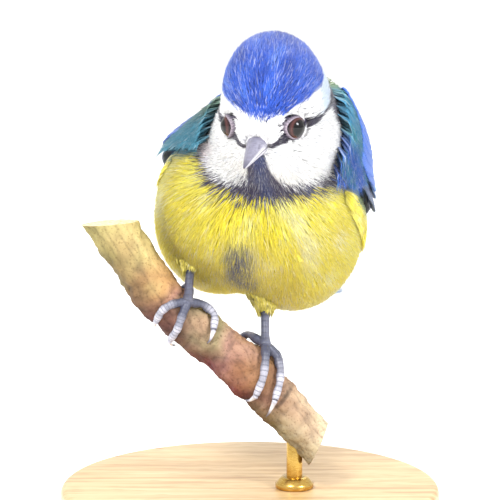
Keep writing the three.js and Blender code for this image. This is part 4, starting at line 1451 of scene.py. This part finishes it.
# Each row's colours: outer web, inner web, edge and tip.
WING_COLOURS = {
    "primary": ("5d8cc0", "565b6c", "b9d2e8", "6c7688"),
    "secondary": ("3f7fc4", "4b5568", "86b4de", "4a6f98"),
    "tertial": ("3f7a94", "45626a", "6f9fb0", "dfe6ea"),
    "primary covert": ("3c6cba", "3b4c70", "5c8ed0", "34549a"),
    "greater covert": ("3a76c6", "3d5f8e", "6aa4dc", "f4f7fa"),
    "median covert": ("3f7fd0", "3a66a6", "5f9ade", "6ea6e2"),
    "lesser covert": ("3a6ecb", "3a62b4", "4f86d6", "4478cc"),
}
VANE_STEPS = 22
VANE_ACROSS = 11
VANE_THICK = 0.3
WING_BLUNTNESS = 0.72
BARB_STEP = 0.5
WHITE_TIPS = {"greater covert": 0.2, "tertial": 0.05, "median covert": 0.12}
PLAIN_TIP = 0.08

vane, vane_shader = finish("flight feathers", "4079be", 0.5, Sheen_Weight=0.1)
barb_line = node(vane, "ShaderNodeAttribute", attribute_name="Barb").outputs["Fac"]
barb_wave = node(vane, "ShaderNodeMath", {0: barb_line}, operation="SINE").outputs["Value"]
barb_share = node(
    vane, "ShaderNodeMapRange", {"Value": barb_wave, "From Min": -1.0, "From Max": 1.0}
).outputs["Result"]
# The grooves between the barbs are painted darker, as painted shade, from the same signal as their relief.
barb_groove_shade_stops = [(0.1, "a8aab4"), (0.6, "ffffff")]
tint(vane, vane_shader, grained(vane, painted_tone(vane), barb_share, barb_groove_shade_stops, 0.35))
relief(vane, vane_shader, barb_share, 0.00006, 0.5)


def over_bed(forward, angle, height, side):
    """Points over the bird's fairing, by places along the body and angles down from the back's ridge."""
    turn = np.radians(angle)
    spine = 4 * rise(-forward, 4, 26)
    flat = np.zeros_like(forward)
    starts = TORSO.at + np.stack([forward, flat, spine], axis=-1) @ TORSO.axes.T
    outs = np.stack([flat, side * np.sin(turn), np.cos(turn)], axis=-1) @ TORSO.axes.T
    far = np.full(forward.shape, 26.0)
    for _ in range(12):
        value, slope = bed_level(starts + outs * far[..., None])
        far = far - value / np.maximum((slope * outs).sum(-1), 0.25)
    return starts + outs * (far + LAY + height)[..., None]


def vane_outline(share, bluntness):
    """A vane's width by its share: narrow at the root, rounded past the blunt part."""
    rounding = np.clip((share - bluntness) / (1 - bluntness), 0, 1) ** 2
    return (0.45 + 0.55 * rise(share, 0, 0.4)) * np.sqrt(np.maximum(1 - rounding * 0.97, 0))


def vane_grid():
    """Shares along a vane and places across it, from -1 at its lower edge to 1 at its upper."""
    along = np.linspace(0, 1, VANE_STEPS) ** 0.85
    across = np.linspace(-1, 1, VANE_ACROSS)
    return np.meshgrid(along, across, indexing="ij")


def feather_relief(share, across, seed):
    """The shaft's ridge and the webs' unevenness, as height, and the ragged edge, as width."""
    shaft = 0.16 * np.exp(-(((across - 0.12) / 0.08) ** 2)) * (1 - share)
    uneven = 0.03 * np.sin(share * 40 + across * 9 + seed)
    ragged = 1 + 0.035 * np.sin(share * 57 + seed * 3) * (np.abs(across) > 0.95)
    return shaft + uneven, ragged


def web_colours(share, across, colours, tip_share):
    """Colours over a vane: outer web below the shaft, inner above, a pale edge, and the tip."""
    outer, inner, edge, tip = (linear(colour) for colour in colours)
    shape = share.shape + (3,)
    inwards = rise(across, 0.02, 0.22)[..., None]
    tone = np.broadcast_to(outer, shape) * (1 - inwards) + inner * inwards
    rim = (rise(-across, 0.72, 0.95) * rise(share, 0.2, 0.5))[..., None]
    tone = tone * (1 - rim) + edge * rim
    at_tip = rise(share + 0.04 * np.abs(across), 1 - tip_share - 0.05, 1 - tip_share + 0.03)[..., None]
    tone = tone * (1 - at_tip) + tip * at_tip
    shaft = (0.5 * np.exp(-(((across - 0.12) / 0.07) ** 2)))[..., None]
    return tone * (1 - shaft) + linear("2f3140") * shaft


def flights(name, vanes, stands_for):
    """Vanes joined in one piece, each a pair of point grids with its colours and its barbs' phases."""
    spots, faces, tones, phases, patches = [], [], [], [], []
    columns = math.ceil(math.sqrt(len(vanes)))
    total = 0
    for number, (outer, inner, tone, phase) in enumerate(vanes):
        some, its_faces = sheet(outer, inner)
        spots.append(some)
        faces += [tuple(index + total for index in face) for face in its_faces]
        total += len(some)
        # The underside of each vane is painted darker than its top, as painted shade.
        tones += [tone.reshape(-1, 3), tone.reshape(-1, 3) * 0.82]
        phases += [phase.ravel(), phase.ravel()]
        corner = np.array([number % columns, number // columns]) / columns
        rows, across = (np.linspace(0, 1, size) for size in outer.shape[:2])
        u, v = np.meshgrid(rows, across, indexing="ij")
        for half in (0, 1):
            place = np.stack([(0.04 + 0.44 * v + 0.48 * half), 0.04 + 0.92 * u], axis=-1) / columns
            patches.append((corner + place).reshape(-1, 2))
    piece = mesh_piece(name, np.concatenate(spots), faces, vane, stands_for)
    set_tone(piece, np.concatenate(tones))
    barb = piece.data.attributes.new("Barb", "FLOAT", "POINT")
    barb.data.foreach_set("value", np.concatenate(phases).astype(np.float32))
    write_patch(piece, np.concatenate(patches))


bed_level = melted([(HEAD, HEAD_MASSES), (TORSO, TORSO_MASSES + [FAIRING])])


def wing_vane(root, tip, width, root_height, tip_height, kind, side, seed):
    """One feather of the folded wing, as flights takes it."""
    share, across = vane_grid()
    bump, ragged = feather_relief(share, across, seed)
    forward = root[0] + (tip[0] - root[0]) * share
    spread = width / 2 * vane_outline(share, WING_BLUNTNESS) * ragged / BED_RADIUS
    narrowing = 1 + 0.5 * rise(-forward, 14, 40)
    angle = root[1] + (tip[1] - root[1]) * share + np.degrees(across * spread * narrowing)
    camber = 0.25 * (1 - across**2) * (1 - 0.5 * share)
    height = root_height + (tip_height - root_height) * share + 0.35 * across * rise(share, 0, 0.3)
    outer = over_bed(forward, angle, height + camber + bump + VANE_THICK, side)
    inner = over_bed(forward, angle, height + camber * 0.7, side)
    tip_share = WHITE_TIPS.get(kind, PLAIN_TIP)
    tone = web_colours(share, across, WING_COLOURS[kind], tip_share)
    tone = tone * rng.uniform(0.9, 1.08)
    length = abs(tip[0] - root[0])
    phase = (share * length + np.abs(across - 0.12) * width * 0.5) * 2 * math.pi / BARB_STEP
    return outer, inner, tone, phase


for side_name, side in (("left", 1), ("right", -1)):
    vanes = []
    for kind, count, first, last, root_height, tip_height in WING_ROWS:
        for number in range(count):
            share = number / (count - 1)
            root = [a + (b - a) * share for a, b in zip(first[0], last[0])]
            tip = [a + (b - a) * share for a, b in zip(first[1], last[1])]
            tip[0] += rng.uniform(-0.4, 0.4)
            width = first[2] + (last[2] - first[2]) * share
            heights = (root_height, tip_height)
            vanes.append(wing_vane(root, tip, width, *heights, kind, side, number * 1.7))
    flights(f"wing_vanes_{side_name}", vanes, [f"wing_{side_name}"])


# Shoulder feathers
# Loose feathers of the back's sides that hang over the folded wings' upper edges and bends, and breast
# feathers that come up over the lower edges, so that the wings sit in the plumage.


def on_bed(forward, angle, side, lie):
    """Roots on the bed, with the way their feathers lie."""
    spots = over_bed(np.array(forward), np.array(angle), np.full(len(forward), -LAY - 0.4), side)
    outs = unit(bed_level(spots)[1])
    way = TORSO.heading(*lie) + 0 * spots
    return spots, unit(way - (way * outs).sum(1, keepdims=True) * outs)


def over_wing(low, high):
    """A level that falls from high over the wing to low at the back's ridge and over the shoulder."""

    def height(points):
        body = TORSO.local(points)
        over = rise(down_from_ridge(body), 6, 24) * (1 - rise(body[:, 0], 14, 20))
        return low + (high - low) * over

    return height


# Each group's places as (least, most likely, greatest) forwards and down from the ridge, and how many.
SHOULDER_PLACES = {
    "scapulars": ((-6, 8, 21), (0, 20, 50), 520),
    "bend": ((9, 15, 21), (28, 54, 80), 640),
    "flank_edge": ((-10, -2, 12), (76, 84, 94), 260),
}
# How long they are, which way they lie, their heights halfway and at the tip, and their colours.
SHOULDER_FORMS = {
    "scapulars": ((4.5, 6.2), (-1, 0, 0.02), (0.6, 2.2), (0.8, 2.7), back_colours),
    "bend": ((3, 4.4), (-0.55, 0, -0.85), (1.3, 2.1), (1.7, 2.6), back_colours),
    "flank_edge": ((4.5, 6.2), (-1, 0, 0.02), (0, 0.15), (0.1, 0.35), markings),
}

for side_name, side in (("left", 1), ("right", -1)):
    for name, (forwards, angles, count) in SHOULDER_PLACES.items():
        lengths, lie, halfway, at_tip, colour = SHOULDER_FORMS[name]
        forward = rng.triangular(*forwards, count)
        angle = rng.triangular(*angles, count)
        some, ways = on_bed(forward, angle, side, lie)
        long = rng.uniform(*lengths, count)
        plumage(
            f"feathers_{name}_{side_name}",
            some,
            ways,
            long,
            long * 0.45,
            11,
            (over_wing(*halfway), over_wing(*at_tip)),
            ["torso"],
            level=bed_level,
            barb=0.27,
            colour=colour,
        )


# Tail
# Twelve straight blue feathers, the middle pair on top and the outermost edged white, with shorter
# coverts over and under their roots.
TAIL = Stance(TORSO.place(-21, 0, 4), -4, -22, 5)
TAIL_LENGTHS = [47.5, 49, 50, 50.5, 50, 48.5]
TAIL_WIDTH = 6.2
TAIL_STEP = 0.34
TAIL_FAN = 1.5
TAIL_THICK = 0.26
TAIL_BLUNTNESS = 0.88
COVERT_COUNT = 420
TAIL_COLOURS = ("3768b6", "3b4d7a", "5186cc", "4872ac")
TAIL_EDGE_COLOURS = ("e4eaf0", "3f4f78", "f6f8fa", "86a6cc")


def tail_points(back, left, level):
    """Points by how far back along the tail, how far left and how high."""
    return TAIL.at + np.stack([-back, left, level], axis=-1) @ TAIL.axes.T


def tail_vane(index, side):
    """One tail feather, counted out from the middle pair, as flights takes it."""
    share, across = vane_grid()
    bump, ragged = feather_relief(share, across, index * 2.3 + side)
    root = side * (0.7 + index * 0.42)
    turn = math.radians(side * (0.3 + index * TAIL_FAN))
    level = -index * TAIL_STEP - (0 if side > 0 else TAIL_STEP / 2)
    out = across * TAIL_WIDTH / 2 * vane_outline(share, TAIL_BLUNTNESS) * ragged
    along = -3 + (TAIL_LENGTHS[index] + 3) * share
    left_place = root + along * math.sin(turn) + out * math.cos(turn)
    back = along * math.cos(turn) - out * math.sin(turn)
    camber = 0.16 * (1 - across**2)
    outer = tail_points(back, left_place, level + camber + bump * 0.6 + TAIL_THICK)
    inner = tail_points(back, left_place, level + camber)
    colours = TAIL_EDGE_COLOURS if index == len(TAIL_LENGTHS) - 1 else TAIL_COLOURS
    tone = web_colours(share, -across * side if index else -np.abs(across), colours, 0.05)
    phase = (share * TAIL_LENGTHS[index] + np.abs(across) * 3) * 2 * math.pi / BARB_STEP
    return outer, inner, tone * rng.uniform(0.92, 1.06), phase


vanes = [tail_vane(index, side) for index in range(len(TAIL_LENGTHS)) for side in (1, -1)]
flights("tail_vanes", vanes, ["tail"])

for name, over, colour in (
    ("tail_coverts_over", True, "5f93a8"),
    ("tail_coverts_under", False, "f1efd2"),
):
    count = COVERT_COUNT
    back = rng.uniform(-7, 6 if over else 9, count)
    beside = rng.normal(0, 0.42, count).clip(-1, 1)
    width = 5.6 - 0.16 * np.maximum(back, 0)
    height = (2.6 if over else -3.0) * np.sqrt(1 - 0.75 * beside**2)
    height = height - (0.9 if over else -1.5) * rise(back, -4, 9)
    starts = tail_points(back, beside * width, height * (1 - 0.4 * rise(back, 0, 12)))
    ways = np.broadcast_to(TAIL.heading(-1, 0, 0), starts.shape)

    def tail_level(points, over=over):
        local = TAIL.local(points)
        way = 1.0 if over else -1.0
        middle = 2.0 if over else -2.6
        flat = np.zeros(len(local))
        slope = np.stack([flat, local[:, 1] / 14, flat + way], axis=1)
        value = (local[:, 2] - middle * (1 - 0.35 * rise(-local[:, 0], 0, 16))) * way
        return value + local[:, 1] ** 2 / 28, slope @ TAIL.axes.T

    def covert_colour(points, colour=colour):
        return np.broadcast_to(linear(colour), points.shape) * 1.0

    plumage(
        f"feathers_{name}",
        starts,
        ways,
        rng.uniform(6, 9, count),
        np.full(count, 3.0),
        9,
        (lambda spots: 0.15, lambda spots: 0.4),
        ["tail"],
        level=tail_level,
        colour=covert_colour,
        splay=9,
    )


# Floor, light and camera
# A plain white floor that curves up behind, a soft light from the upper left, a weaker one from the
# right, a wide one from behind, and a pale sky. The camera looks at the bird's front from a little above.
TARGET = Vector((0, 0, 0.052))
DISTANCE = 0.4
ELEVATION = 8
FRAME_WIDTH = 0.094
SENSOR = 36
FLOOR_FRONT = -3.0
FLOOR_BACK = 2.0
FLOOR_HALF = 4
CURVE = 0.6
WALL_TOP = 3.0

floor_mesh = bpy.data.meshes.new("floor")
turns = np.linspace(0.1, math.pi / 2, 14)
sweep = [(FLOOR_FRONT, 0.0), (FLOOR_BACK, 0.0)]
sweep += [(FLOOR_BACK + CURVE * math.sin(turn), CURVE - CURVE * math.cos(turn)) for turn in turns]
sweep += [(FLOOR_BACK + CURVE, WALL_TOP)]
floor_spots = [(x, y, z) for y, z in sweep for x in (-FLOOR_HALF, FLOOR_HALF)]
floor_faces = [(2 * i, 2 * i + 1, 2 * i + 3, 2 * i + 2) for i in range(len(sweep) - 1)]
floor_mesh.from_pydata(floor_spots, [], floor_faces)
floor_mesh.polygons.foreach_set("use_smooth", [True] * len(floor_faces))
floor = bpy.data.objects.new("floor", floor_mesh)
paper, _ = finish("paper", "fcfcfa", 0.9)
floor_mesh.materials.append(paper)
bpy.context.scene.collection.objects.link(floor)


def lamp(name, place, size, power, colour):
    """A round soft light that faces the bird."""
    data = bpy.data.lights.new(name, "AREA")
    data.shape = "DISK"
    data.size = size
    data.energy = power
    data.color = colour
    light = bpy.data.objects.new(name, data)
    light.location = place
    light.rotation_euler = (TARGET - Vector(place)).to_track_quat("-Z", "Y").to_euler()
    bpy.context.scene.collection.objects.link(light)


lamp("key", (-0.35, -0.6, 0.75), 0.24, 8.0, (1, 0.99, 0.97))
lamp("fill", (0.58, -0.54, 0.52), 0.3, 5.4, (0.97, 0.98, 1))
lamp("back", (0.1, 0.6, 0.7), 0.5, 3.0, (1, 1, 1))

world = bpy.data.worlds.new("sky")
world.use_nodes = True
world.node_tree.nodes["Background"].inputs["Color"].default_value = (1, 1, 1, 1)
world.node_tree.nodes["Background"].inputs["Strength"].default_value = 1.04
bpy.context.scene.world = world
bpy.context.scene.view_settings.view_transform = "Standard"

lens = bpy.data.cameras.new("camera")
lens.sensor_width = SENSOR
lens.lens = SENSOR * DISTANCE / FRAME_WIDTH
lens.clip_start = 0.01
camera = bpy.data.objects.new("camera", lens)
tilt = math.radians(ELEVATION)
camera.location = TARGET + Vector((0, -math.cos(tilt), math.sin(tilt))) * DISTANCE
camera.rotation_euler = (TARGET - camera.location).to_track_quat("-Z", "Y").to_euler()
bpy.context.scene.collection.objects.link(camera)
bpy.context.scene.camera = camera
